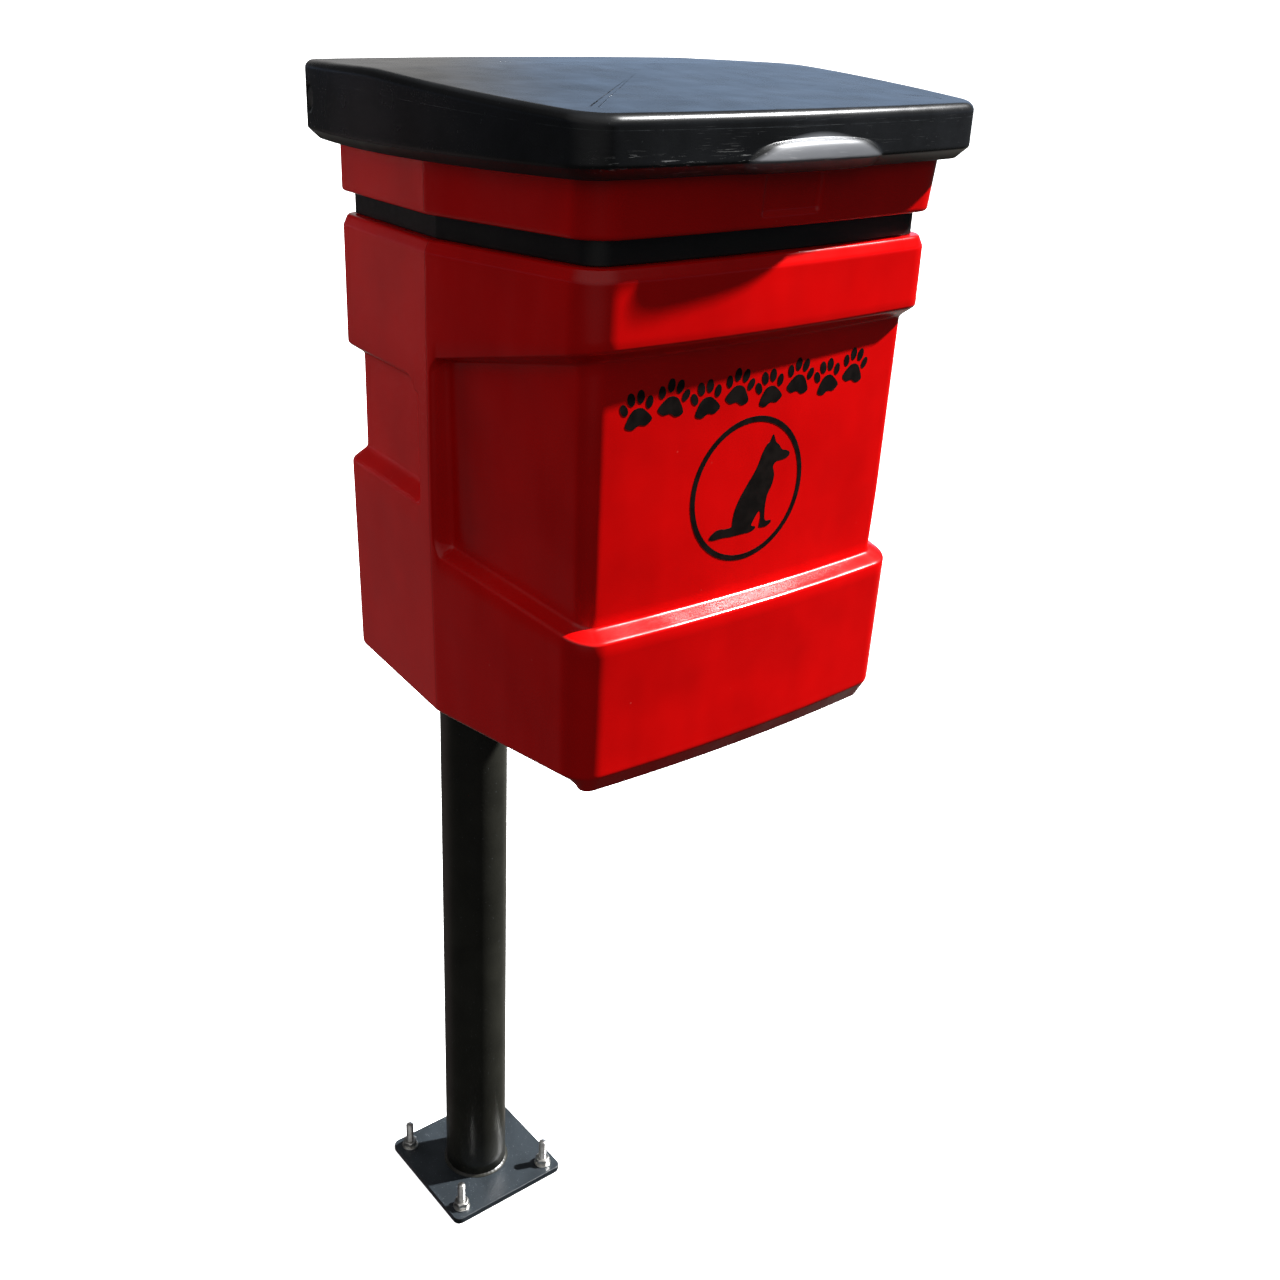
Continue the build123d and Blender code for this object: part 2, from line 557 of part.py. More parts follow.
def post_bracket(z):
    """Bracket on the bin's back: plate, two webs and the front half of the clamp."""
    face = REAR_Y + BRACKET_T
    plate = block((-BRACKET_HALF, BRACKET_HALF), (REAR_Y, face), (z - BRACKET_H / 2, z + BRACKET_H / 2))
    for x in (-BRACKET_BOLT_X, BRACKET_BOLT_X):
        plate -= rod(BOLT_R + BOLT_HOLE_CLEAR, (x, REAR_Y - 1, z), (x, face + 1, z))
    bracket = plate + half_ring(-1, z)
    for low in (z - CLAMP_H / 2, z + CLAMP_H / 2 - WEB_T):
        web = block((-POST_R, POST_R), (face - 1, -POST_R / 2), (low, low + WEB_T))
        bracket += web - rod(POST_R, (0, 0, low - 1), (0, 0, low + WEB_T + 1))
    return bracket


def clamp_spots():
    """Plan x and height of the clamp bolts."""
    return [(x, z) for z in BRACKET_Z for x in (-CLAMP_BOLT_X, CLAMP_BOLT_X)]


def clamp_bolts():
    """Hexagon bolts with their heads behind the rear clamps."""
    back = CLAMP_GAP + CLAMP_T
    front = -back - BOLT_WASHER_T - BOLT_NUT_H - BOLT_TAIL
    return Compound(children=[
        hexagon(BOLT_HEAD_AF, (x, back, z), (x, back + BOLT_HEAD_H, z))
        + rod(BOLT_R, (x, front, z), (x, back, z))
        for x, z in clamp_spots()])


def ring_at(outer, x, y0, y1, z):
    """A flat washer on a bolt that lies along Y."""
    return rod(outer, (x, y0, z), (x, y1, z)) - rod(BOLT_R + THREAD_CLEAR, (x, y0 + 1, z), (x, y1 - 1, z))


def clamp_washers():
    """Washers between the brackets' ears and the clamp nuts."""
    y = -CLAMP_GAP - CLAMP_T
    return Compound(children=[ring_at(BOLT_WASHER_R, x, y, y - BOLT_WASHER_T, z) for x, z in clamp_spots()])


def nut_at(x, y0, y1, z):
    """A hexagon nut on a bolt that lies along Y."""
    return hexagon(BOLT_HEAD_AF, (x, y0, z), (x, y1, z)) - rod(
        BOLT_R + THREAD_CLEAR, (x, y0 + 1, z), (x, y1 - 1, z))


def clamp_nuts():
    """Nuts of the clamp bolts."""
    y = -CLAMP_GAP - CLAMP_T - BOLT_WASHER_T
    return Compound(children=[nut_at(x, y, y - BOLT_NUT_H, z) for x, z in clamp_spots()])


def backing_plates():
    """Steel plates inside the body that spread the load of the bracket bolts."""
    plates = []
    for z in BRACKET_Z:
        y = REAR_Y - WALL
        plate = block((-BRACKET_HALF, BRACKET_HALF), (y - BRACKET_T, y),
                      (z - BRACKET_H / 2, z + BRACKET_H / 2))
        for x in (-BRACKET_BOLT_X, BRACKET_BOLT_X):
            plate -= rod(BOLT_R + BOLT_HOLE_CLEAR, (x, y + 1, z), (x, y - BRACKET_T - 1, z))
        plates.append(plate)
    return Compound(children=plates)


def bracket_bolts():
    """Bolts from outside through bracket, wall and backing plate."""
    out = REAR_Y + BRACKET_T
    end = REAR_Y - WALL - BRACKET_T - BOLT_NUT_H - BOLT_TAIL
    return Compound(children=[
        hexagon(BOLT_HEAD_AF, (x, out, z), (x, out + BOLT_HEAD_H, z))
        + rod(BOLT_R, (x, end, z), (x, out, z))
        for x, z in bolt_spots()])


def bracket_nuts():
    """Nuts on the backing plates, inside the body."""
    y = REAR_Y - WALL - BRACKET_T
    return Compound(children=[nut_at(x, y, y - BOLT_NUT_H, z) for x, z in bolt_spots()])


NODES = {
    "base_plate": base_plate,
    "post_tube": post_tube,
    "post_weld": post_weld,
    "post_cap": post_cap,
    "anchor_studs": anchor_studs,
    "anchor_washers": anchor_washers,
    "anchor_nuts": anchor_nuts,
    "bin_body": bin_body,
    "trim_band": trim_band,
    "lid_shell": lid_shell,
    "hinge_pins": lambda: both_sides(hinge_pin()),
    "hinge_pin_caps": lambda: both_sides(hinge_pin_cap()),
    "hinge_bushes": lambda: both_sides(hinge_bush()),
    "lid_buffers": lambda: both_sides(lid_buffer()),
    "inner_liner": inner_liner,
    "lower_post_bracket": lambda: post_bracket(BRACKET_Z[0]),
    "upper_post_bracket": lambda: post_bracket(BRACKET_Z[1]),
    "lower_post_clamp": lambda: half_ring(1, BRACKET_Z[0]),
    "upper_post_clamp": lambda: half_ring(1, BRACKET_Z[1]),
    "clamp_bolts": clamp_bolts,
    "clamp_washers": clamp_washers,
    "clamp_nuts": clamp_nuts,
    "backing_plates": backing_plates,
    "bracket_bolts": bracket_bolts,
    "bracket_nuts": bracket_nuts,
}

os.makedirs("parts", exist_ok=True)
for name, make in NODES.items():
    export_step(make(), f"parts/{name}.step")
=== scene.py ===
import math

import bmesh
import bpy
import numpy as np
from mathutils import Matrix, Vector


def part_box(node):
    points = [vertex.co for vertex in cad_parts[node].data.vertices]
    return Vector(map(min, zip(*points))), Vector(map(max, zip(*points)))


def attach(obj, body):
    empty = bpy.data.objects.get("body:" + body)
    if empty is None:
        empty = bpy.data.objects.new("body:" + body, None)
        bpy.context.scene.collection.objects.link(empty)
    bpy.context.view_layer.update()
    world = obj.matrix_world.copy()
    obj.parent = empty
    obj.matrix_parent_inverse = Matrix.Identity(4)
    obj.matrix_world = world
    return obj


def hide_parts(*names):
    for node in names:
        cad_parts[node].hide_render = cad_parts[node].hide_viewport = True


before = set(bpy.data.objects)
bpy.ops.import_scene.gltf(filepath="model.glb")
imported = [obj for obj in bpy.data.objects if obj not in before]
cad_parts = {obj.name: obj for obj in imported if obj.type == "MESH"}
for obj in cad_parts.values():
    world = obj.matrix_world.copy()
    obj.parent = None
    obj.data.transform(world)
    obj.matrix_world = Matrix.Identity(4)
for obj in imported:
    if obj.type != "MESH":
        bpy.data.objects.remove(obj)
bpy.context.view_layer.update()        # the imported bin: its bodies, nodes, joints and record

# The dog waste bin's looks: moulded shells, prints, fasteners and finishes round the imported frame.
# Metres, +Z up, the bin's front faces -Y, x = 0 is its plane of symmetry.

body_low, _ = (np.array(c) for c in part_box("bin_body"))
lid_low, lid_high = (np.array(c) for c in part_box("lid_shell"))
plate_low, plate_high = (np.array(c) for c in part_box("base_plate"))
_, post_high = (np.array(c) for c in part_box("post_tube"))
band_low, band_high = (np.array(c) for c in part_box("trim_band"))
liner_low, liner_high = (np.array(c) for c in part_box("inner_liner"))
stud_low, stud_high = (np.array(c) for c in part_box("anchor_studs"))
washer_low, washer_high = (np.array(c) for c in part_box("anchor_washers"))
nut_low, nut_high = (np.array(c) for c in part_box("anchor_nuts"))
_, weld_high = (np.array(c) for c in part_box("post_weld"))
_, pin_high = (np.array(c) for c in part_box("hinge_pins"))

# ---- plan of the red body ----
REAR_Y = -0.072
CREASE_HALF, CREASE_Y = 0.202, REAR_Y - 0.173
FRONT_HALF, FRONT_Y = 0.176, REAR_Y - 0.348
REAR_HALF = 0.184
FRONT_BOW = 0.008
FRONT_R, CREASE_R, REAR_R = 0.028, 0.022, 0.020
WALL = 0.005
FOOT_FRONT, FOOT_SIDE = 0.008, 0.020
BOTTOM_INSET = 0.004          # the taper's inset at the bottom
RECESS_LOW_IN, RECESS_TOP_IN, GRIP_IN = 0.015, 0.012, 0.014
WAIST_LOW, WAIST_HIGH = 0.880, 1.198      # the rows between these bend round the recess
COLUMN_FRONT_Y, COLUMN_REAR_Y = -0.256, -0.226      # the raised column at the crease

# ---- heights of the red body ----
PLINTH_Z = body_low[2]
BOTTOM_Z = PLINTH_Z + 0.016
TAPER_TOP = BOTTOM_Z + 0.185
SHOULDER_Z = TAPER_TOP + 0.207
GROOVE_LOW = SHOULDER_Z + 0.009
GROOVE_HIGH = GROOVE_LOW + 0.019
RIM_Z = GROOVE_HIGH + 0.068
HINGE = np.array([0.0, REAR_Y - 0.006, RIM_Z + 0.006])


# ---------------------------------------------------------------- surfaces
def unit(v):
    """A vector of length 1 along v."""
    return v / np.linalg.norm(v)


def rounded(points, radii, closed=False, fine=0.0003):
    """A polyline whose corners are arcs of the given radii, as points about `fine` apart.

    Each arc touches both of its sides; its points are centre + the sweep from one touching
    radius to the other, weighted by sines. A last pass spaces all points evenly."""
    points = np.asarray(points, float)
    count = len(points)
    parts = []
    for i in range(count):
        here, radius = points[i], radii[i]
        if radius == 0 or (not closed and i in (0, count - 1)):
            parts.append(here[None])
            continue
        back, on = unit(points[i - 1] - here), unit(points[(i + 1) % count] - here)
        half = math.acos(np.clip(back @ on, -1, 1)) / 2
        reach = radius / math.tan(half)
        centre = here + unit(back + on) * radius / math.sin(half)
        sweep = math.pi - 2 * half
        t = np.linspace(0, 1, 33)[:, None]
        first, last = here + back * reach - centre, here + on * reach - centre
        arc = np.sin((1 - t) * sweep) * first + np.sin(t * sweep) * last
        parts.append(centre + arc / math.sin(sweep))
    path = np.concatenate(parts + ([parts[0][:1]] if closed else []))
    along = np.concatenate([[0], np.cumsum(np.linalg.norm(np.diff(path, axis=0), axis=1))])
    keep = np.concatenate([[True], np.diff(along) > 1e-9])
    path, along = path[keep], along[keep]
    even = np.linspace(0, along[-1], max(8, int(along[-1] / fine)))
    return np.stack([np.interp(even, along, path[:, k]) for k in range(path.shape[1])], 1)


def spaced(path, spacing):
    """Rows picked from a fine path so that neighbours are the local spacing apart."""
    gap = np.linalg.norm(np.diff(path[:, :2], axis=0), axis=1)
    along = np.concatenate([[0], np.cumsum(gap / ((spacing[1:] + spacing[:-1]) / 2))])
    even = np.linspace(0, along[-1], int(round(along[-1])) + 1)
    return np.stack([np.interp(even, along, path[:, k]) for k in range(path.shape[1])], 1)


def with_normals(path):
    """A closed counter-clockwise path with its outward normals in two more columns."""
    ring = path[:-1]
    tangent = np.roll(ring, -1, axis=0) - np.roll(ring, 1, axis=0)
    tangent /= np.linalg.norm(tangent, axis=1)[:, None]
    normal = np.stack([tangent[:, 1], -tangent[:, 0]], 1)
    return np.concatenate([np.concatenate([ring, ring[:1]]), np.concatenate([normal, normal[:1]])], 1)


def ramp(value, start, end):
    """0 before start, 1 after end, and a smooth cubic between."""
    t = np.clip((value - start) / (end - start), 0, 1)
    return t * t * (3 - 2 * t)


def eased(t, part=0.3):
    """A straight ramp from 0 to 1 whose two ends are rounded over the given part of it."""
    t = np.clip(t, 0, 1)
    low = t * t / (2 * part * (1 - part))
    middle = (t - part / 2) / (1 - part)
    high = 1 - (1 - t) ** 2 / (2 * part * (1 - part))
    return np.where(t < part, low, np.where(t > 1 - part, high, middle))


def mesh_from_grid(name, grid, closed_rows=False, smooth=True):
    """One closed mesh from a grid of points: columns run round it, rows along it.

    Rows that shrink to one point become poles, and points that coincide are merged."""
    rows, columns = grid.shape[:2]
    r = np.arange(rows if closed_rows else rows - 1)[:, None]
    c = np.arange(columns)[None]
    up, on = (r + 1) % rows, (c + 1) % columns
    quads = np.stack([r * columns + c, r * columns + on, up * columns + on, up * columns + c], -1)
    mesh = bpy.data.meshes.new(name)
    mesh.from_pydata(grid.reshape(-1, 3).tolist(), [], quads.reshape(-1, 4).tolist())
    work = bmesh.new()
    work.from_mesh(mesh)
    bmesh.ops.remove_doubles(work, verts=work.verts, dist=2e-6)
    bmesh.ops.dissolve_degenerate(work, edges=work.edges, dist=1e-7)
    work.to_mesh(mesh)
    work.free()
    mesh.shade_smooth() if smooth else mesh.shade_flat()
    return mesh


def joined(name, meshes):
    """Several meshes as one."""
    work = bmesh.new()
    for mesh in meshes:
        work.from_mesh(mesh)
        bpy.data.meshes.remove(mesh)
    mesh = bpy.data.meshes.new(name)
    work.to_mesh(mesh)
    work.free()
    mesh.shade_smooth()
    return mesh


def piece(name, mesh, material, body, slot, *nodes):
    """An object at the origin that rides on a body and stands for the given nodes."""
    thing = bpy.data.objects.new(name, mesh)
    bpy.context.scene.collection.objects.link(thing)
    mesh.materials.clear()
    mesh.materials.append(material)
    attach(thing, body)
    if nodes:
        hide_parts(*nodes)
    return thing


def turned(profile, centre, axis=2, around=96):
    """A solid of revolution: each (radius, height) of the profile turned about an axis through centre."""
    angle = np.arange(around) / around * 2 * math.pi
    radius, height = profile[:, :1], profile[:, 1:2]
    first = radius * np.cos(angle)
    second = radius * np.sin(angle)
    third = height + 0 * angle
    parts = {2: (first, second, third), 0: (third, first, second), 1: (second, third, first)}[axis]
    return np.stack(parts, -1) + np.asarray(centre, float)


def disc_profile(radius, low, high, edge, bore=0.0):
    """(radius, height) round a disc or washer with rounded outer edges, ready to be turned."""
    if bore:
        points = [(bore, low), (radius, low), (radius, high), (bore, high)]
        path = rounded(points, [edge * 0.4, edge, edge, edge * 0.4], closed=True, fine=edge / 6)
        return spaced(path, np.full(len(path), edge / 3))[:-1]
    points = [(0, low), (radius, low), (radius, high), (0, high)]
    path = rounded(points, [0, edge, edge, 0], fine=edge / 6)
    return spaced(path, np.full(len(path), edge / 3))


# ---------------------------------------------------------------- red body
def body_ring():
    """The body's plan: six corners rounded, front bowed by a parabola, closer points at the steps."""
    right = [(FRONT_HALF, FRONT_Y), (CREASE_HALF, CREASE_Y), (REAR_HALF, REAR_Y)]
    corners = right + [(-x, y) for x, y in reversed(right)]
    radii = [FRONT_R, CREASE_R, REAR_R, REAR_R, CREASE_R, FRONT_R]
    path = rounded(corners, radii, closed=True)
    bow = np.clip(1 - (path[:, 0] / FRONT_HALF) ** 2, 0, None) * (path[:, 1] < CREASE_Y)
    path[:, 1] -= FRONT_BOW * bow
    x, y = np.abs(path[:, 0]), path[:, 1]
    spacing = np.full(len(path), 0.0055)
    spacing[(y > -0.272) & (y < -0.215)] = 0.0016
    spacing[(y > REAR_Y - 0.001) & (x > 0.142) & (x < 0.164)] = 0.0016
    spacing[(y < FRONT_Y) & (x > 0.022) & (x < 0.034)] = 0.0013
    spacing[(y < FRONT_Y + 0.030) & (x > 0.146)] = 0.0026
    spacing[(y > REAR_Y - 0.024) & (x > 0.164)] = 0.0026
    spacing[(y > -0.118) & (y < -0.104)] = 0.0018
    return spaced(with_normals(path), spacing)[:-1]


RING = body_ring()


def waist_lines(x, y):
    """Heights of the recess's four edges at each point of the plan, from the bottom up.

    Along the front they are level; on the angled facets they close in towards the crease;
    behind it they are those of the grip recess."""
    inward = np.clip((y - FRONT_Y) / (COLUMN_FRONT_Y - FRONT_Y), 0, 1)
    rearward = np.clip((y - COLUMN_FRONT_Y) / (COLUMN_REAR_Y - COLUMN_FRONT_Y), 0, 1)
    front = [0.9430, 0.9530, 1.1590, 1.1720]
    crease = [0.9710, 0.9800, 1.1335, 1.1395]
    grip = [1.0080, 1.0240, 1.1060, 1.1190]
    corner = 0.018
    near = 0.93 * np.clip((-0.221 + corner - y) / corner, 0, 1)
    drop = corner * (1 - np.sqrt(1 - near ** 2))
    lines = []
    for a, b, c, falls in zip(front, crease, grip, (0, 0, 1, 1)):
        lines.append(a + (b - a) * inward + (c - falls * drop - b) * rearward)
    return np.stack(lines)


def waist_depth(x, y):
    """How deep the recess is at the top and bottom of each point of the plan."""
    before = ramp(-y, 0.2490, 0.2580)
    behind = ramp(y, -0.2290, -0.2205) * ramp(np.abs(x), 0.1490, 0.1580)
    top = RECESS_TOP_IN * before + GRIP_IN * behind
    low = RECESS_LOW_IN * before + GRIP_IN * behind
    return low, top


def body_grid():
    """Rows of the red shell, from the centre of its underside, up its outside, over the rim and
    down its inside to the centre of its floor.

    A point is plan - normal * inset, where inset = the profile's inset + the recess's depth,
    with the taper of the lower part, the collar's lean and the thumb panel added."""
    x, y, nx, ny = RING.T
    lines = waist_lines(x, y)
    low_deep, top_deep = waist_depth(x, y)

    def rows(path, step):
        fine = rounded([p[:2] for p in path], [p[2] for p in path])
        return spaced(fine, np.full(len(fine), step))

    under = rows([(FOOT_SIDE, PLINTH_Z, 0), (0, BOTTOM_Z, 0.0040), (0, WAIST_LOW, 0)], 0.0013)
    foot = 1 - (1 - FOOT_FRONT / FOOT_SIDE) * ramp(-ny, 0.20, 0.95)
    over = rows([(0, WAIST_HIGH, 0), (0, SHOULDER_Z, 0.0050), (0.004, GROOVE_LOW, 0.0030),
                 (0.014, GROOVE_LOW, 0.0020), (0.014, GROOVE_HIGH, 0.0020), (0, GROOVE_HIGH, 0.0026),
                 (0, RIM_Z, 0.0020), (WALL, RIM_Z, 0.0020), (WALL, GROOVE_HIGH + WALL, 0.0030),
                 (0.019, GROOVE_HIGH + WALL, 0.0030), (0.019, SHOULDER_Z + 0.002, 0)], 0.0015)
    levels = np.concatenate([
        np.linspace(0, 1, 7)[1:-1], np.linspace(1, 2, 11), np.linspace(2, 3, 24)[1:-1],
        np.linspace(3, 4, 11), np.linspace(4, 5, 5)[1:-1]])
    anchors = np.concatenate([np.full((1, len(x)), WAIST_LOW), lines, np.full((1, len(x)), WAIST_HIGH)])

    def waist(levels, wall):
        """The recessed part: heights between the local edges, depth by an eased ramp on the slopes."""
        k = np.minimum(levels.astype(int), 4)
        share = (levels - k)[:, None]
        z = anchors[k] * (1 - share) + anchors[k + 1] * share
        on = eased(levels - 1)[:, None] - eased(levels - 3)[:, None]
        up = np.clip(levels - 2, 0, 1)[:, None]
        deep = on * (low_deep * (1 - up) + top_deep * up)
        return deep + wall, z

    ones = np.ones_like(x)
    blocks = [
        (FOOT_SIDE * np.ones((5, 1)) * foot, PLINTH_Z * np.ones((5, 1)) * ones,
         [0, 0.35, 0.7, 0.92, 0.985]),
        (under[:, :1] * foot, under[:, 1:2] * ones, None),
        (*waist(levels, 0.0), None),
        (over[:, :1] * ones, over[:, 1:2] * ones, None),
        (*waist(levels[::-4], WALL), None),
        (0.013 * np.ones((4, 1)) * ones, (PLINTH_Z + 0.006) * np.ones((4, 1)) * ones,
         [1, 0.7, 0.35, 0])]
    inset = np.concatenate([b[0] for b in blocks])
    z = np.concatenate([b[1] for b in blocks])
    shrink = np.concatenate([
        np.ones(len(b[0])) if b[2] is None else np.array(b[2], float) for b in blocks])

    taper = BOTTOM_INSET * np.clip((TAPER_TOP - z) / (TAPER_TOP - BOTTOM_Z), 0, 1)
    forward = np.clip((CREASE_Y - y) / (CREASE_Y - FRONT_Y), 0, 1)
    outwards = np.clip(np.abs(x) / FRONT_HALF, 0, 1) * np.sign(x)
    lean = np.clip((z - GROOVE_HIGH) / (RIM_Z - GROOVE_HIGH), 0, 1)
    panel = (1 - ramp(np.abs(x), 0.0265, 0.0305)) * (y < FRONT_Y) * ramp(z, 1.2540, 1.2585)
    outer = inset < WALL / 2
    inset = inset + 0.0025 * panel * outer
    low_rear = ramp(y, -0.114, -0.106)
    z = z - 0.028 * low_rear * np.clip((z - 1.262) / (RIM_Z - 1.262), 0, 1)
    px = x - nx * (inset + taper) + 0.003 * lean * forward * outwards
    py = y - ny * inset - np.minimum(ny, 0) * taper - 0.006 * lean * forward
    centre_y = (FRONT_Y + REAR_Y) / 2
    s = shrink[:, None]
    return np.stack([px * s, centre_y + (py - centre_y) * s, z], -1)


def front_face(x, z):
    """The y of the recess's front floor at (x, z): the bowed front set back by the recess's depth."""
    slope = 2 * FRONT_BOW * x / FRONT_HALF ** 2
    low, top = 0.956, 1.157
    up = np.clip((z - low) / (top - low), 0, 1)
    taper = BOTTOM_INSET * np.clip((TAPER_TOP - z) / (TAPER_TOP - BOTTOM_Z), 0, 1)
    deep = RECESS_LOW_IN * (1 - up) + RECESS_TOP_IN * up + taper
    return FRONT_Y - FRONT_BOW * (1 - (x / FRONT_HALF) ** 2) + deep * np.sqrt(1 + slope ** 2)


def block_grid(outline, low, high, edge, axis=2):
    """A slab with rounded edges: a closed outline with normals, between two heights along an axis."""
    profile = rounded([(edge * 1.5, low), (0, low), (0, high), (edge * 1.5, high)], [0, edge, edge, 0],
                      fine=edge / 8)
    profile = spaced(profile, np.full(len(profile), edge / 3))
    inset = np.concatenate([[edge * 1.5] * 2, profile[:, 0], [edge * 1.5] * 2])
    height = np.concatenate([[low] * 2, profile[:, 1], [high] * 2])
    shrink = np.concatenate([[0, 0.5], np.ones(len(profile)), [0.5, 0]])[:, None]
    u, v, nu, nv = outline.T
    centre = np.array([(u.min() + u.max()) / 2, (v.min() + v.max()) / 2])
    pu = centre[0] + (u - nu * inset[:, None] - centre[0]) * shrink
    pv = centre[1] + (v - nv * inset[:, None] - centre[1]) * shrink
    w = height[:, None] + 0 * u
    parts = {2: (pu, pv, w), 0: (w, pu, pv), 1: (pv, w, pu)}[axis]
    return np.stack(parts, -1)


def hinge_ears():
    """Two ears that stand up inside the rear corners: a foot with a round head, about the hinge axis."""
    ear_out, ear_in, head = REAR_HALF - 0.008, REAR_HALF - 0.030, 0.015
    rear = REAR_Y - WALL / 2
    outline = rounded(
        [(HINGE[1] - head, GROOVE_HIGH + 0.004), (rear, GROOVE_HIGH + 0.004), (rear, RIM_Z - 0.012),
         (REAR_Y - 0.0005, RIM_Z - 0.004), (REAR_Y - 0.0005, HINGE[2] + head),
         (HINGE[1] - head, HINGE[2] + head)],
        [0.002, 0.001, 0.003, 0.003, 0.0055, 0.014], closed=True)
    outline = spaced(with_normals(outline), np.full(len(outline), 0.0016))[:-1]
    right = block_grid(outline, ear_in, ear_out, 0.002, axis=0)
    left = right.copy()
    left[..., 0] *= -1
    return [mesh_from_grid("ear", right), mesh_from_grid("ear", left[:, ::-1])]


# ---------------------------------------------------------------- black band and liner
def hoop(inset, wall, low, high, edge):
    """A band that follows the body's plan: a small rounded rectangle carried round it."""
    corners = [(inset + wall, low), (inset, low), (inset, high), (inset + wall, high)]
    profile = rounded(corners, [edge] * 4, closed=True, fine=edge / 6)
    profile = spaced(profile, np.full(len(profile), edge / 2))[:-1]
    x, y, nx, ny = RING.T
    inset, z = profile[:, :1], profile[:, 1:2]
    return np.stack([x - nx * inset, y - ny * inset, z + 0 * x], -1)


def liner_grid():
    """The lift-out liner: an open box with a turned-out rim, from its underside round to its floor."""
    x, y, nx, ny = RING.T
    low, high = liner_low[2], liner_high[2]
    wall, rim = 0.003, 0.004
    path = [(0.034, low, 0), (0.025, low, 0.008), (0.025, high - rim, 0.002), (0.0078, high - rim, 0.001),
            (0.0078, high, 0.0018), (0.025 + wall, high, 0.003), (0.025 + wall, low + wall, 0.006),
            (0.036, low + wall, 0)]
    fine = rounded([p[:2] for p in path], [p[2] for p in path])
    profile = spaced(fine, np.where(np.abs(fine[:, 1] - high) < 0.012, 0.0009, 0.006))
    inset = np.concatenate([[0.034] * 3, profile[:, 0], [0.036] * 3])[:, None]
    z = np.concatenate([[low] * 3, profile[:, 1], [low + wall] * 3])[:, None]
    s = np.concatenate([[0, 0.4, 0.8], np.ones(len(profile)), [0.8, 0.4, 0]])[:, None]
    px = x - nx * inset
    set_back = (REAR_Y - liner_high[1]) * ramp(y, CREASE_Y, REAR_Y)
    py = y - ny * inset - np.clip(set_back - ny * 0.0078, 0, None) * (ny > -0.5)
    centre = (FRONT_Y + REAR_Y) / 2
    return np.stack([px * s, centre + (py - centre) * s, z + 0 * x], -1)


# ---------------------------------------------------------------- black lid
LID_REAR_Y = lid_high[1]
LID_FRONT_HALF, LID_FRONT_Y = FRONT_HALF + 0.018, FRONT_Y - 0.018
LID_REAR_HALF = REAR_HALF + 0.019
LID_SWELL = 0.02745
LID_BOW = 0.014
LID_BOTTOM, LID_EDGE = lid_low[2], lid_low[2] + 0.009
LID_TOP, LID_FRONT_TOP = lid_high[2], lid_high[2] - 0.020
LID_FLAT_END = CREASE_Y + 0.040
LIP_HALF, LIP_OUT, LIP_TOP = 0.068, 0.0078, RIM_Z + 0.011
DISH_R, DISH_DEEP = 0.0108, 0.0050
EDGE_R = 0.0070


def lid_ring():
    """The lid's plan: four rounded corners, a bowed front and swelling sides, both parabolas."""
    corners = [(LID_FRONT_HALF, LID_FRONT_Y), (LID_REAR_HALF, LID_REAR_Y),
               (-LID_REAR_HALF, LID_REAR_Y), (-LID_FRONT_HALF, LID_FRONT_Y)]
    path = rounded(corners, [0.022, 0.012, 0.012, 0.022], closed=True)
    x, y = path[:, 0].copy(), path[:, 1].copy()
    along = np.clip((y - LID_FRONT_Y) / (LID_REAR_Y - LID_FRONT_Y), 0, 1)
    side = np.clip(np.abs(x) / LID_FRONT_HALF, 0, 1)
    path[:, 0] += np.sign(x) * LID_SWELL * 4 * along * (1 - along) * side ** 6
    front = np.clip(1 - (x / LID_FRONT_HALF) ** 2, 0, None) * ramp(-y, 0.30, -LID_FRONT_Y)
    path[:, 1] -= LID_BOW * front
    x, y = np.abs(path[:, 0]), path[:, 1]
    spacing = np.full(len(path), 0.0050)
    spacing[(y < LID_FRONT_Y) & (x < 0.078)] = 0.0016
    spacing[(y < LID_FRONT_Y + 0.028) & (x > 0.160)] = 0.0024
    spacing[(y > -0.094) & (x > 0.180)] = 0.0012
    spacing[(y > LID_REAR_Y - 0.002) & (x > 0.142) & (x < 0.184)] = 0.0012
    return spaced(with_normals(path), spacing)[:-1]


def lid_top(y):
    """Height of the lid's top: level at the rear, falling to the front past a softened bend."""
    slope = (LID_TOP - LID_FRONT_TOP) / (LID_FLAT_END - LID_FRONT_Y)
    ahead = LID_FLAT_END - y
    return LID_TOP - slope * (ahead + np.sqrt(ahead ** 2 + 0.018 ** 2)) / 2


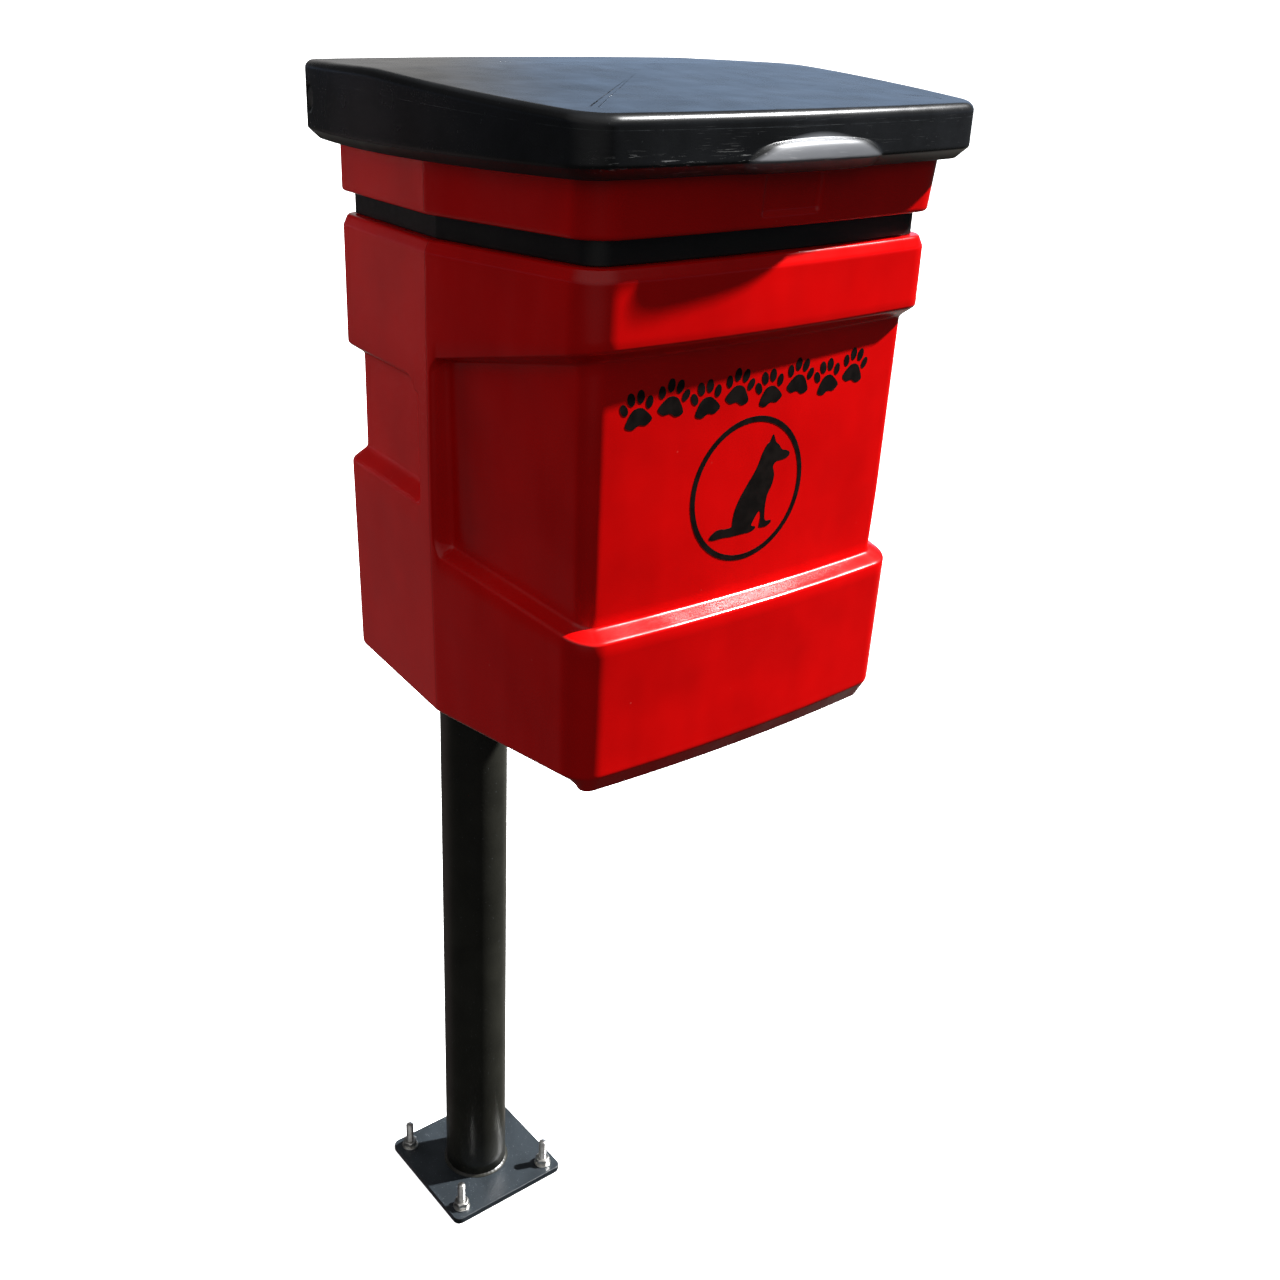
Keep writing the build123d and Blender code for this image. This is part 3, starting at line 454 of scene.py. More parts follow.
def lid_grid():
    """Rows of the lid from the middle of its top, out over the edge, down the skirt, round the
    turned-in lower edge and up inside to the middle of its ceiling.

    The skirt is drawn in z by the fall of the top, pushed out at the lift lip, dished at the
    hinge, and cut up at the rear."""
    x, y, nx, ny = lid_ring().T
    thick = 0.005
    path = [(0.030, LID_TOP, 0), (0, LID_TOP, EDGE_R), (0, LID_EDGE, 0.0030),
            (0.010, LID_BOTTOM, 0.0020), (0.0125, LID_BOTTOM, 0.0008),
            (0.0125, LID_BOTTOM + 0.004, 0.0010), (thick, LID_BOTTOM + 0.004, 0.0010),
            (thick, LID_TOP - thick, 0.0050), (0.034, LID_TOP - thick, 0)]
    fine = rounded([p[:2] for p in path], [p[2] for p in path])
    outside = np.arange(len(fine)) < len(fine) * 0.55
    step = np.where(outside, 0.0011, 0.0035)
    profile = spaced(fine, step)
    rings = np.array([0, 0.12, 0.25, 0.4, 0.55, 0.7, 0.82, 0.91, 0.97])
    inset = np.concatenate([[0.030] * 9, profile[:, 0], [0.034] * 6])[:, None]
    z = np.concatenate([[LID_TOP] * 9, profile[:, 1], [LID_TOP - thick] * 6])[:, None] + 0 * x
    s = np.concatenate([rings, np.ones(len(profile)), rings[::2][::-1], [0]])[:, None]

    rear = ramp(y, LID_REAR_Y - 0.004, LID_REAR_Y - 0.001) * (1 - ramp(np.abs(x), 0.190, 0.197))
    inset = inset - rear * np.clip(inset - thick, 0, None) * (z < LID_TOP - 0.010)
    rise = LIP_TOP - LID_EDGE
    bend = (LIP_HALF ** 2 + rise ** 2) / (2 * rise)
    arc = np.clip(np.sqrt(np.clip(bend ** 2 - x ** 2, 0, None)) - bend + rise, 0, None) * (ny < -0.9)
    push = np.clip((LID_EDGE + arc - z) / rise, 0, arc / rise) * (z < LIP_TOP)
    dish = 1 - ramp(np.hypot(y - HINGE[1], z - HINGE[2]), DISH_R - 0.0012, DISH_R + 0.0002)
    inner = 1 - ramp(np.hypot(y - HINGE[1], z - HINGE[2]), DISH_R + 0.001, DISH_R + 0.005)
    dish = np.where(inset < 0.001, DISH_DEEP * dish, 0.0035 * inner) * (np.abs(nx) > 0.9)
    offset = inset + dish - LIP_OUT * (1 - (1 - push) ** 2.0)
    px, py = x - nx * offset, y - ny * offset
    centre = (LID_FRONT_Y + LID_REAR_Y) / 2
    px, py = px * s, centre + (py - centre) * s

    fall = (LID_TOP - lid_top(py)) * ramp(z, 1.300, 1.340)
    crown = 0.0016 * np.clip(1 - (px / 0.226) ** 2, 0, 1) * ramp(z, 1.338, 1.348)
    cheek = 0.013 * np.clip((y - LID_REAR_Y + 0.009) / 0.009, 0, 1)
    back = 0.011 * rear
    slot = 0.0505 * rear * ramp(np.abs(x), 0.1450, 0.1462) * (1 - ramp(np.abs(x), 0.1798, 0.1810))
    low = LID_BOTTOM + np.maximum(np.maximum(cheek, back), slot)
    hold = 1.3400
    pulled = hold - (hold - z) * (hold - low) / (hold - LID_BOTTOM)
    z = np.where(z < hold, pulled, z)
    return np.stack([px, py, z - fall - 0.0016 * ramp(z, 1.338, 1.348) + crown], -1)


def lid_bosses():
    """Round bosses inside the cheeks that carry the hinge pins."""
    meshes = []
    for side in (-1, 1):
        low, high = sorted((side * (REAR_HALF - 0.0055), side * 0.2015))
        profile = disc_profile(0.0138, low, high, 0.0015)
        meshes.append(mesh_from_grid("boss", turned(profile, (0, HINGE[1], HINGE[2]), axis=0, around=48)))
    return meshes


def hinge_pieces():
    """The pins, with a flat head at the bottom of each dimple, and the domed caps over them."""
    bottom, cap_r = pin_high[0] - 0.0034, DISH_R * 0.97
    pins, caps = [], []
    for side in (-1, 1):
        shank = [(0, REAR_HALF - 0.030), (0.006, REAR_HALF - 0.030), (0.006, bottom - 0.0006),
                 (0.0085, bottom - 0.0006), (0.0085, bottom), (0, bottom)]
        turns = turned(np.array(shank) * (1, side), (0, HINGE[1], HINGE[2]), axis=0, around=48)
        pins.append(mesh_from_grid("pin", turns if side > 0 else turns[:, ::-1]))
        t = np.linspace(0, 1, 12)
        quarter = t * math.pi / 2
        dome = np.stack([cap_r * np.sin(quarter), bottom + 0.0007 + 0.0011 * np.cos(quarter)], 1)
        cap = np.concatenate([[(0, bottom + 0.0001), (cap_r, bottom + 0.0001)], dome[::-1]])
        turns = turned(cap * (1, side), (0, HINGE[1], HINGE[2]), axis=0, around=48)
        caps.append(mesh_from_grid("cap", turns if side > 0 else turns[:, ::-1]))
    return pins, caps


# ---------------------------------------------------------------- prints on the front
def decal(name, outlines, material, slot="black_plastic"):
    """Flat printed shapes on the front: closed (x, z) outlines, filled, cut into narrow strips,
    laid on the front face and given a film's thickness."""
    curve = bpy.data.curves.new(name, "CURVE")
    curve.dimensions = "2D"
    curve.fill_mode = "BOTH"
    for outline in outlines:
        line = curve.splines.new("POLY")
        line.points.add(len(outline) - 1)
        flat = np.concatenate([outline, np.zeros((len(outline), 1)), np.ones((len(outline), 1))], 1)
        line.points.foreach_set("co", flat.ravel())
        line.use_cyclic_u = True
    drawn = bpy.data.objects.new(name, curve)
    bpy.context.scene.collection.objects.link(drawn)
    mesh = bpy.data.meshes.new_from_object(drawn)
    bpy.data.objects.remove(drawn)
    work = bmesh.new()
    work.from_mesh(mesh)
    bmesh.ops.remove_doubles(work, verts=work.verts, dist=1e-6)
    for x in np.arange(-0.150, 0.150, 0.004):
        geometry = work.verts[:] + work.edges[:] + work.faces[:]
        bmesh.ops.bisect_plane(work, geom=geometry, plane_co=(x, 0, 0), plane_no=(1, 0, 0), dist=1e-7)
    work.to_mesh(mesh)
    work.free()
    at = np.zeros(len(mesh.vertices) * 3)
    mesh.vertices.foreach_get("co", at)
    at = at.reshape(-1, 3)
    x, z = at[:, 0].copy(), at[:, 1].copy()
    at[:, 1] = front_face(x, z) + 0.00005
    at[:, 2] = z
    mesh.vertices.foreach_set("co", at.ravel())
    mesh.update()
    made = piece(name, mesh, material, "root", slot)
    film = made.modifiers.new("film", "SOLIDIFY")
    film.thickness = 0.0003
    film.offset = 1.0
    return made


def ellipse(cx, cz, rx, rz, turn=0.0, count=48):
    """Points of an ellipse at (cx, cz), turned by an angle in degrees."""
    a = np.arange(count) / count * 2 * math.pi
    u, v = rx * np.cos(a), rz * np.sin(a)
    c, s = math.cos(math.radians(turn)), math.sin(math.radians(turn))
    return np.stack([cx + u * c - v * s, cz + u * s + v * c], 1)


def flowing(points, steps=8):
    """A closed smooth line through given points: a Catmull-Rom spline, evaluated at once."""
    p = np.asarray(points, float)
    before, after, later = np.roll(p, 1, 0), np.roll(p, -1, 0), np.roll(p, -2, 0)
    t = (np.arange(steps) / steps)[None, :, None]
    a, b, c, d = (q[:, None] for q in (before, p, after, later))
    line = 0.5 * (2 * b + (c - a) * t + (2 * a - 5 * b + 4 * c - d) * t ** 2
                  + (3 * b - a - 3 * c + d) * t ** 3)
    return line.reshape(-1, 2)


def paw(cx, cz, size, turn=0.0):
    """A paw print: one broad pad and four toes, as closed outlines."""
    pad = np.array([(-0.30, -0.12), (-0.42, -0.34), (-0.22, -0.46), (0, -0.40), (0.22, -0.46),
                    (0.42, -0.34), (0.30, -0.12), (0.12, 0.04), (-0.12, 0.04)])
    toes = [(-0.40, 0.12, 0.11, 0.17, 18), (-0.15, 0.33, 0.12, 0.18, 6),
            (0.15, 0.33, 0.12, 0.18, -6), (0.40, 0.12, 0.11, 0.17, -18)]
    shapes = [flowing(pad)] + [ellipse(*toe, count=32) for toe in toes]
    c, s = math.cos(math.radians(turn)), math.sin(math.radians(turn))
    spin = np.array([[c, s], [-s, c]])
    return [shape @ spin * size + (cx, cz) for shape in shapes]


def sitting_dog():
    """A plain sitting dog that faces +x, in units of its height, from the paws round by the back."""
    return flowing([
        (0.30, 0.00), (0.36, 0.03), (0.35, 0.06), (0.27, 0.075), (0.255, 0.20), (0.27, 0.34), (0.33, 0.46),
        (0.345, 0.56), (0.32, 0.655), (0.37, 0.70), (0.46, 0.705), (0.53, 0.725), (0.545, 0.765),
        (0.50, 0.795), (0.425, 0.82), (0.385, 0.87), (0.33, 0.915), (0.285, 1.00), (0.245, 0.93),
        (0.20, 0.90), (0.15, 0.82), (0.11, 0.72), (0.05, 0.62), (-0.04, 0.50), (-0.12, 0.38), (-0.175, 0.26),
        (-0.195, 0.15), (-0.20, 0.09), (-0.28, 0.08), (-0.38, 0.09), (-0.46, 0.06), (-0.50, 0.01),
        (-0.44, -0.015), (-0.32, -0.01), (-0.20, -0.02), (-0.05, -0.02), (0.06, -0.02), (0.13, 0.00),
        (0.135, 0.03), (0.08, 0.05), (0.10, 0.10), (0.15, 0.17), (0.185, 0.19), (0.20, 0.12), (0.195, 0.06),
        (0.19, 0.02), (0.22, 0.00)], steps=5)


# ---------------------------------------------------------------- fasteners, post and plate
THREAD_R, NUT_FLATS, NUT_BORE = 0.0049, 0.0168, 0.0046
WASHER_R, WASHER_BORE = 0.0105, 0.0051


def threaded(centre, radius, low, high, pitch=0.0015, depth=0.00045):
    """A threaded stud: radius falls and rises by a rounded ridge that climbs one pitch a turn,
    with a chamfered top."""
    around = 24
    angle = np.arange(around) / around * 2 * math.pi
    z = np.arange(low, high, pitch / 6)[:, None]
    wave = np.abs(((z / pitch - angle / (2 * math.pi)) % 1) * 2 - 1)
    limit = radius - np.clip(z - (high - 0.0012), 0, None) * 0.9
    r = np.minimum(radius - depth * 2 * eased(wave, 0.25), limit)
    r = np.concatenate([np.zeros((1, around)), r, np.zeros((1, around))])
    z = np.concatenate([[[low]], z, [[high - pitch / 6]]])
    grid = np.stack([r * np.cos(angle), r * np.sin(angle), z + 0 * r], -1)
    return grid + np.array([centre[0], centre[1], 0])


def hexagonal(centre, flats, bore, low, high, axis=2, turn=0.0, chamfer=0.0009):
    """A hexagon nut or bolt head: across a turn the radius is that of a hexagon with softened
    corners, and the corners are cut by a cone at both faces."""
    around = 72
    angle = (np.arange(around) + 0.5) / around * 2 * math.pi
    sector = (angle + turn) % (math.pi / 3) - math.pi / 6
    hexagon = flats / 2 / np.cos(sector)
    hexagon = np.minimum(hexagon, flats / 2 * 1.135)
    heights = np.array([low, low, low + 0.00035, low + chamfer, (low + high) / 2, high - chamfer,
                        high - 0.00035, high, high])
    cone = flats / 2 * np.array([0.80, 0.95, 1.0, 1.16, 1.16, 1.16, 1.0, 0.95, 0.80])
    r = np.minimum(hexagon, cone[:, None])
    inner = np.full((1, around), max(bore, 0.0))
    r = np.concatenate([inner, r, inner])
    z = np.concatenate([[low], heights, [high]])[:, None] + 0 * r
    first, second = r * np.cos(angle), r * np.sin(angle)
    parts = {2: (first, second, z), 1: (second, z, first)}[axis]
    return np.stack(parts, -1) + np.asarray(centre, float)


def weld_grid():
    """The painted weld bead round the post's foot, with faint ripples along it."""
    around = 180
    angle = np.arange(around) / around * 2 * math.pi
    ripple = 1 + 0.03 * np.sin(angle * 46) + 0.03 * np.sin(angle * 9 + 1)
    leg = 0.7 * (weld_high[0] - post_high[0]) * ripple
    t = np.linspace(0, 1, 9)[:, None]
    inside = post_high[0] - 0.001
    r = inside + (leg + 0.001) * (1 - t) ** 0.9
    z = plate_high[2] - 0.0003 + leg * t ** 0.75
    r = np.concatenate([r, np.full((1, around), inside)])
    z = np.concatenate([z, np.full((1, around), plate_high[2] - 0.0003)])
    return np.stack([r * np.cos(angle), r * np.sin(angle), z], -1)


def plate_grid():
    """The base plate: a square with rounded corners and slightly eased edges."""
    half = plate_high[0]
    square = [(half, -half), (half, half), (-half, half), (-half, -half)]
    outline = rounded(square, [0.009] * 4, closed=True)
    outline = spaced(with_normals(outline), np.full(len(outline), 0.0025))[:-1]
    return block_grid(outline, plate_low[2], plate_high[2], 0.0008)


# ---------------------------------------------------------------- finishes
class Value:
    """One output socket. Python operators on it add Math nodes to the same material."""

    def __init__(self, paint, socket):
        self.paint, self.socket = paint, socket

    def math(self, operation, first, second=0.0, clamp=False):
        settings = {"operation": operation, "use_clamp": clamp}
        return self.paint.node("ShaderNodeMath", settings, {0: first, 1: second})

    def __add__(self, other):
        return self.math("ADD", self, other)

    __radd__ = __add__

    def __sub__(self, other):
        return self.math("SUBTRACT", self, other)

    def __rsub__(self, other):
        return self.math("SUBTRACT", other, self)

    def __mul__(self, other):
        return self.math("MULTIPLY", self, other)

    __rmul__ = __mul__

    def __pow__(self, other):
        return self.math("POWER", self, other)

    def near(self, reach):
        """1 where the value is 0, falling straight to 0 at `reach` on both sides."""
        return self.math("MAXIMUM", 1 - (self * self) ** 0.5 * (1 / reach), 0.0)

    def above(self, start, end):
        """0 below start, 1 above end, straight between."""
        return self.math("MULTIPLY", self - start, 1 / (end - start), clamp=True)


class Paint:
    """A material being built: one method makes any node, and the last one finishes the shader.

    Given a tree, such as the world's, it adds its nodes there instead."""

    def __init__(self, name, tree=None):
        self.tree = tree
        if tree is None:
            self.material = bpy.data.materials.new(name)
            self.material.use_nodes = True
            self.tree = self.material.node_tree
            self.tree.nodes.clear()
            self.place = self.node("ShaderNodeTexCoord", {}, {}, "Object")

    def node(self, kind, settings, inputs, output=0):
        """Adds one node: its settings first, then values or links by input name or index."""
        made = self.tree.nodes.new(kind)
        for key, value in settings.items():
            if key == "stops":
                self.set_stops(made.color_ramp, value)
            else:
                setattr(made, key, value)
        for key, value in inputs.items():
            if isinstance(value, Value):
                self.tree.links.new(value.socket, made.inputs[key])
            else:
                made.inputs[key].default_value = value
        return Value(self, made.outputs[output])

    def set_stops(self, ramp_, stops):
        """Gives a colour ramp its stops, each a place and a grey or a colour."""
        while len(ramp_.elements) < len(stops):
            ramp_.elements.new(0.5)
        for element, (place, shade) in zip(ramp_.elements, stops):
            element.position = place
            element.color = (*shade, 1) if isinstance(shade, tuple) else (shade, shade, shade, 1)

    def noise(self, size, detail=2.0, rough=0.5, stretch=(1, 1, 1), distortion=0.0):
        """Noise whose cells are about `size` metres, from 0 to 1."""
        spot = self.node("ShaderNodeMapping", {}, {"Vector": self.place, "Scale": stretch})
        return self.node("ShaderNodeTexNoise", {}, {
            "Vector": spot, "Scale": 1 / size, "Detail": detail, "Roughness": rough,
            "Distortion": distortion})

    def specks(self, size, density, soft=0.10):
        """Scattered spots: 1 in the middle of some Voronoi cells, 0 elsewhere."""
        cell = self.node("ShaderNodeTexVoronoi", {}, {"Vector": self.place, "Scale": 1 / size}, "Distance")
        pick = self.node("ShaderNodeTexVoronoi", {}, {"Vector": self.place, "Scale": 1 / size}, "Color")
        chance = self.node("ShaderNodeSeparateColor", {}, {"Color": pick})
        return (1 - cell.above(0.12, 0.12 + soft)) * chance.above(1 - density, 1 - density + 0.02)

    def axis(self, name):
        """One coordinate of the object's own space."""
        return self.node("ShaderNodeSeparateXYZ", {}, {"Vector": self.place}, name)

    def mix(self, first, second, share):
        """One colour turning into another."""
        return self.node("ShaderNodeMix", {"data_type": "RGBA"}, {0: share, 6: first, 7: second}, 2)

    def range(self, value, low, high):
        """A value from 0 to 1 spread over low to high."""
        return value * (high - low) + low

    def relief(self, height, depth, below=None):
        """A bump of the given depth in metres, on top of another one."""
        inputs = {"Height": height, "Distance": depth, "Strength": 1.0}
        if below is not None:
            inputs["Normal"] = below
        return self.node("ShaderNodeBump", {}, inputs)

    def finish(self, colour, roughness, normal=None, metallic=0.0, **plain):
        """Closes the material. Varying values come as links; plain ones are set on their sockets."""
        inputs = {"Base Color": colour, "Roughness": roughness, "Metallic": metallic, **plain}
        if normal is not None:
            inputs["Normal"] = normal
        shader = self.node("ShaderNodeBsdfPrincipled", {}, inputs)
        out = self.tree.nodes.new("ShaderNodeOutputMaterial")
        self.tree.links.new(shader.socket, out.inputs["Surface"])
        return self.material


def red_moulding():
    """Glossy red polyethylene: faint clouding, slow waves from the mould, fine flow marks, flecks, and
    painted shade: a thin dark line along the crease.
    """
    p = Paint("red_moulding")
    cloud = p.noise(0.09, 3, 0.55)
    fine = p.noise(0.004, 2)
    fleck = p.specks(0.007, 0.010, 0.03)
    colour = p.mix((0.60, 0.0008, 0.0010, 1), (0.70, 0.0014, 0.0014, 1), cloud.above(0.35, 0.65))
    colour = p.mix(colour, (0.72, 0.16, 0.13, 1), fleck * 0.30)
    rough = p.range(p.noise(0.030, 3), 0.15, 0.27) + fleck * 0.15
    # Painted shade: a thin dark line painted along the crease, standing in for the shade of the parting
    # line's small step.
    crease = (p.axis("Y") - CREASE_Y).near(1 / 1600)
    colour = p.mix(colour, (0.25, 0.0006, 0.0008, 1), crease * 0.7)
    sag = p.relief(p.noise(0.040, 1, 0.4, (1, 1, 0.28)), 0.0008)
    waves = p.relief(p.noise(0.085, 1, 0.4), 0.0016, sag)
    flow = p.relief(p.noise(0.020, 2, 0.5, (1, 1, 0.25)), 0.00012, waves)
    skin = p.relief(fine, 0.000012, flow)
    return p.finish(colour, rough, skin, **{"IOR": 1.47, "Specular IOR Level": 0.45})


def black_lid():
    """Glossy black polyethylene: dust film on top, slow waves, rub marks along the lower front edge, and a
    painted highlight on the lift lip.
    """
    p = Paint("black_lid")
    cloud = p.noise(0.06, 4, 0.6)
    dust = p.specks(0.004, 0.10, 0.06)
    height, across, along = p.axis("Z"), p.axis("X"), p.axis("Y")
    rub_noise = p.noise(0.0035, 4, 0.65, (0.16, 1, 2.2), 0.6)
    strip = 1 - height.above(LID_EDGE + 0.001, LID_EDGE + 0.012)
    strip = strip * height.above(LID_BOTTOM, LID_EDGE - 0.002)
    front = 1 - along.above(-0.450, -0.425)
    worn = strip * front * (1 - across.above(-0.060, 0.060)) * rub_noise.above(0.60, 0.66)
    hair = p.noise(0.0022, 2, 0.6, (0.06, 1, 3.0), 0.3).above(0.66, 0.70) * front * 0.25
    colour = p.mix((0.0065, 0.0070, 0.0075, 1), (0.013, 0.014, 0.0155, 1), cloud.above(0.35, 0.65))
    under = 1 - height.above(LID_BOTTOM + 0.002, LID_EDGE)
    # Painted highlight: the lift lip is painted light grey, brightest over its left half and fading to the
    # right.
    arc = height + across * across * 4.0
    lip = (1 - arc.above(LIP_TOP - 0.0140, LIP_TOP - 0.0105)) * (1 - along.above(-0.4480, -0.4450))
    lip = lip * (1 - under) * (1 - across.above(0.0, 0.065) * 0.75)
    seam = (height + along * -0.0524 - 1.3420).near(1 / 2500) * p.noise(0.02, 3, 0.6).above(0.40, 0.60)
    colour = p.mix(colour, (0.10, 0.11, 0.12, 1), dust * 0.20 + seam * 0.35)
    # The lift lip's painted highlight.
    colour = p.mix(colour, (0.190, 0.197, 0.212, 1), lip)
    colour = p.mix(colour, (0.42, 0.42, 0.42, 1), worn * 0.7 + hair * 0.3)
    rough = p.range(p.noise(0.025, 3), 0.20, 0.32) + worn * 0.2 + under * 0.3 + lip * 0.18
    waves = p.relief(p.noise(0.075, 1, 0.4), 0.0011)
    flow = p.relief(p.noise(0.012, 3, 0.55, (0.3, 1, 1.6)), 0.00010, waves)
    skin = p.relief(p.noise(0.0022, 2), 0.000010, flow)
    return p.finish(colour, rough, skin, **{"IOR": 1.51})


def black_satin(name="black_satin", shade=0.018, tint=(1.0, 1.04, 0.98)):
    """Satin black plastic with fine moulding texture."""
    p = Paint(name)
    cloud = p.noise(0.035, 3)
    low = tuple(shade * 0.75 * t for t in tint) + (1,)
    high = tuple(shade * 1.35 * t for t in tint) + (1,)
    colour = p.mix(low, high, cloud.above(0.35, 0.65))
    rough = p.range(p.noise(0.010, 3), 0.34, 0.50)
    skin = p.relief(p.noise(0.0016, 2), 0.00003, p.relief(p.noise(0.05, 1), 0.0004))
    return p.finish(colour, rough, skin)


def print_film():
    """Black screen print: nearly flat, slightly uneven ink."""
    p = Paint("print_film")
    uneven = p.noise(0.012, 3).above(0.4, 0.6)
    colour = p.mix((0.0045, 0.0035, 0.0030, 1), (0.0090, 0.0065, 0.0055, 1), uneven)
    rough = p.range(p.noise(0.006, 2), 0.30, 0.45)
    return p.finish(colour, rough, p.relief(p.noise(0.0015, 2), 0.00001), **{"Specular IOR Level": 0.25})


def powder_coat(name, base, flake):
    """Fine-textured powder coat: orange peel, slow unevenness, and tiny flakes whose glint is painted in
    pale grey.
    """
    p = Paint(name)
    cloud = p.noise(0.05, 3)
    flakes_with_painted_glint = p.specks(0.0017, flake, 0.10)
    low = tuple(v * 0.80 for v in base) + (1,)
    high = tuple(v * 1.25 for v in base) + (1,)
    colour = p.mix(low, high, cloud.above(0.35, 0.65))
    # The flakes are real; their pale grey is a painted glint.
    colour = p.mix(colour, (0.42, 0.46, 0.50, 1), flakes_with_painted_glint * 0.55)
    rough = p.range(p.noise(0.006, 3), 0.26, 0.42) - flakes_with_painted_glint * 0.1
    peel = p.relief(p.noise(0.0030, 2, 0.5), 0.00012)
    grain = p.relief(p.noise(0.0009, 2), 0.00003, peel)
    return p.finish(colour, rough, grain, **{"IOR": 1.5})


def zinc(name="zinc", shade=0.74):
    """Bright zinc plate: fine brushing, slight clouding and grey dirt in places."""
    p = Paint(name)
    cloud = p.noise(0.008, 4, 0.6)
    dirty = tuple(shade * k for k in (0.62, 0.62, 0.60)) + (1,)
    clean = tuple(shade * k for k in (1.15, 1.14, 1.10)) + (1,)
    colour = p.mix(dirty, clean, cloud.above(0.30, 0.60))
    rough = p.range(p.noise(0.0022, 3), 0.20, 0.44)
    brushed = p.relief(p.noise(0.0009, 2, 0.5, (1, 1, 6)), 0.00003)
    return p.finish(colour, rough, brushed, metallic=1.0)


def nylon():
    """Natural nylon: cream, waxy, faintly mottled."""
    p = Paint("nylon")
    colour = p.mix((0.58, 0.55, 0.46, 1), (0.70, 0.68, 0.60, 1), p.noise(0.01, 3).above(0.3, 0.7))
    return p.finish(colour, p.range(p.noise(0.006, 2), 0.38, 0.5), p.relief(p.noise(0.002, 2), 0.00002))


def rubber():
    """Matt black rubber with a dusty bloom."""
    p = Paint("rubber")
    colour = p.mix((0.010, 0.010, 0.010, 1), (0.035, 0.034, 0.032, 1), p.noise(0.006, 4).above(0.4, 0.75))
    return p.finish(colour, p.range(p.noise(0.004, 2), 0.62, 0.82), p.relief(p.noise(0.0012, 3), 0.00005))


RED = red_moulding()
LID = black_lid()
SATIN = black_satin()
BAND = black_satin("band_satin", 0.006, (1.0, 1.05, 0.95))
LINER = black_satin("liner_grey", 0.050, (1.0, 1.0, 1.06))
INK = print_film()
POST = powder_coat("post_coat", (0.0185, 0.0185, 0.0145), 0.03)
PLATE = powder_coat("plate_coat", (0.0230, 0.0290, 0.0345), 0.16)
BRACKET = powder_coat("bracket_coat", (0.0150, 0.0165, 0.0170), 0.03)
ZINC = zinc()
NYLON = nylon()
RUBBER = rubber()


# ---------------------------------------------------------------- pieces
def build_body():
    """The red shell with its hinge ears, the black band and the liner."""
    shell = mesh_from_grid("body_moulding", body_grid())
    piece("body_moulding", shell, RED, "root", "red_plastic", "bin_body")
    piece("hinge_ears", joined("hinge_ears", hinge_ears()), RED, "root", "red_plastic")
    low, high = band_low[2], band_high[2]
    band = mesh_from_grid("band_strip", hoop(0.0107, 0.003, low, high, 0.0008), closed_rows=True)
    piece("band_strip", band, BAND, "root", "black_plastic", "trim_band")
    liner = mesh_from_grid("liner_box", liner_grid())
    piece("liner_box", liner, LINER, "liner", "grey_plastic", "inner_liner")


def build_lid():
    """The lid with its bosses, pins and caps."""
    mesh = mesh_from_grid("lid_moulding", lid_grid()[:, ::-1])
    piece("lid_moulding", mesh, LID, "lid", "lid_plastic", "lid_shell")
    piece("lid_bosses", joined("lid_bosses", lid_bosses()), LID, "lid", "lid_plastic")
    pins, caps = hinge_pieces()
    piece("pivot_pins", joined("pivot_pins", pins), ZINC, "lid", "zinc_steel", "hinge_pins")
    piece("pivot_caps", joined("pivot_caps", caps), SATIN, "lid", "black_plastic", "hinge_pin_caps")


def build_prints():
    """A ring, a sitting dog inside it and a row of eight paws above."""
    ring_x, ring_z, ring_r, line = -0.008, 1.041, 0.060, 0.0046
    decal("ring_print", [ellipse(ring_x, ring_z, ring_r, ring_r, count=160),
                         ellipse(ring_x, ring_z, ring_r - line, ring_r - line, count=160)[::-1]], INK)
    height = 0.078
    decal("dog_print", [sitting_dog() * height + (ring_x + 0.001, ring_z - 0.036)], INK)
    paws = []
    for i in range(8):
        centre = -0.124 + i * 0.0326
        paws += paw(centre, 1.1235 + (0.003 if i % 2 else -0.002), 0.029, -12 if i % 2 else 10)
    decal("paw_prints", paws, INK)


def build_post():
    """The post, the weld round its foot and the plate it stands on."""
    post = disc_profile(post_high[0], plate_high[2], post_high[2], 0.0006)
    grid = turned(spaced(post, np.full(len(post), 0.02)), (0, 0, 0), around=128)
    piece("post_pipe", mesh_from_grid("post_pipe", grid), POST, "root", "black_steel", "post_tube")
    piece("weld_bead", mesh_from_grid("weld_bead", weld_grid(), closed_rows=True), POST, "root",
          "black_steel", "post_weld")
    piece("ground_plate", mesh_from_grid("ground_plate", plate_grid()), PLATE, "root", "black_steel",
          "base_plate")


def build_anchors():
    """Four threaded studs, each with a nut and a washer."""
    half = (nut_high[0] + nut_low[0]) / 2
    reach = (stud_high[0] - stud_low[0]) / 2 - 0.005
    places = [(sx * reach + half, sy * reach) for sx in (-1, 1) for sy in (-1, 1)]
    studs, nuts, washers = [], [], []
    for k, (x, y) in enumerate(places):
        studs.append(mesh_from_grid("s", threaded((x, y), THREAD_R, stud_low[2], stud_high[2])))
        low, high = nut_low[2] + 0.0001, nut_high[2]
        nut = hexagonal((x, y, 0), NUT_FLATS, NUT_BORE, low, high, turn=0.35 + k * 0.7)
        nuts.append(mesh_from_grid("n", nut))
        profile = disc_profile(WASHER_R, washer_low[2], washer_high[2], 0.0004, bore=WASHER_BORE)
        washers.append(mesh_from_grid("w", turned(profile, (x, y, 0), around=64), closed_rows=True))
    piece("anchor_threads", joined("anchor_threads", studs), ZINC, "root", "zinc_steel", "anchor_studs")
    piece("anchor_hexes", joined("anchor_hexes", nuts), ZINC, "root", "zinc_steel", "anchor_nuts")
    piece("anchor_rings", joined("anchor_rings", washers), ZINC, "root", "zinc_steel", "anchor_washers")


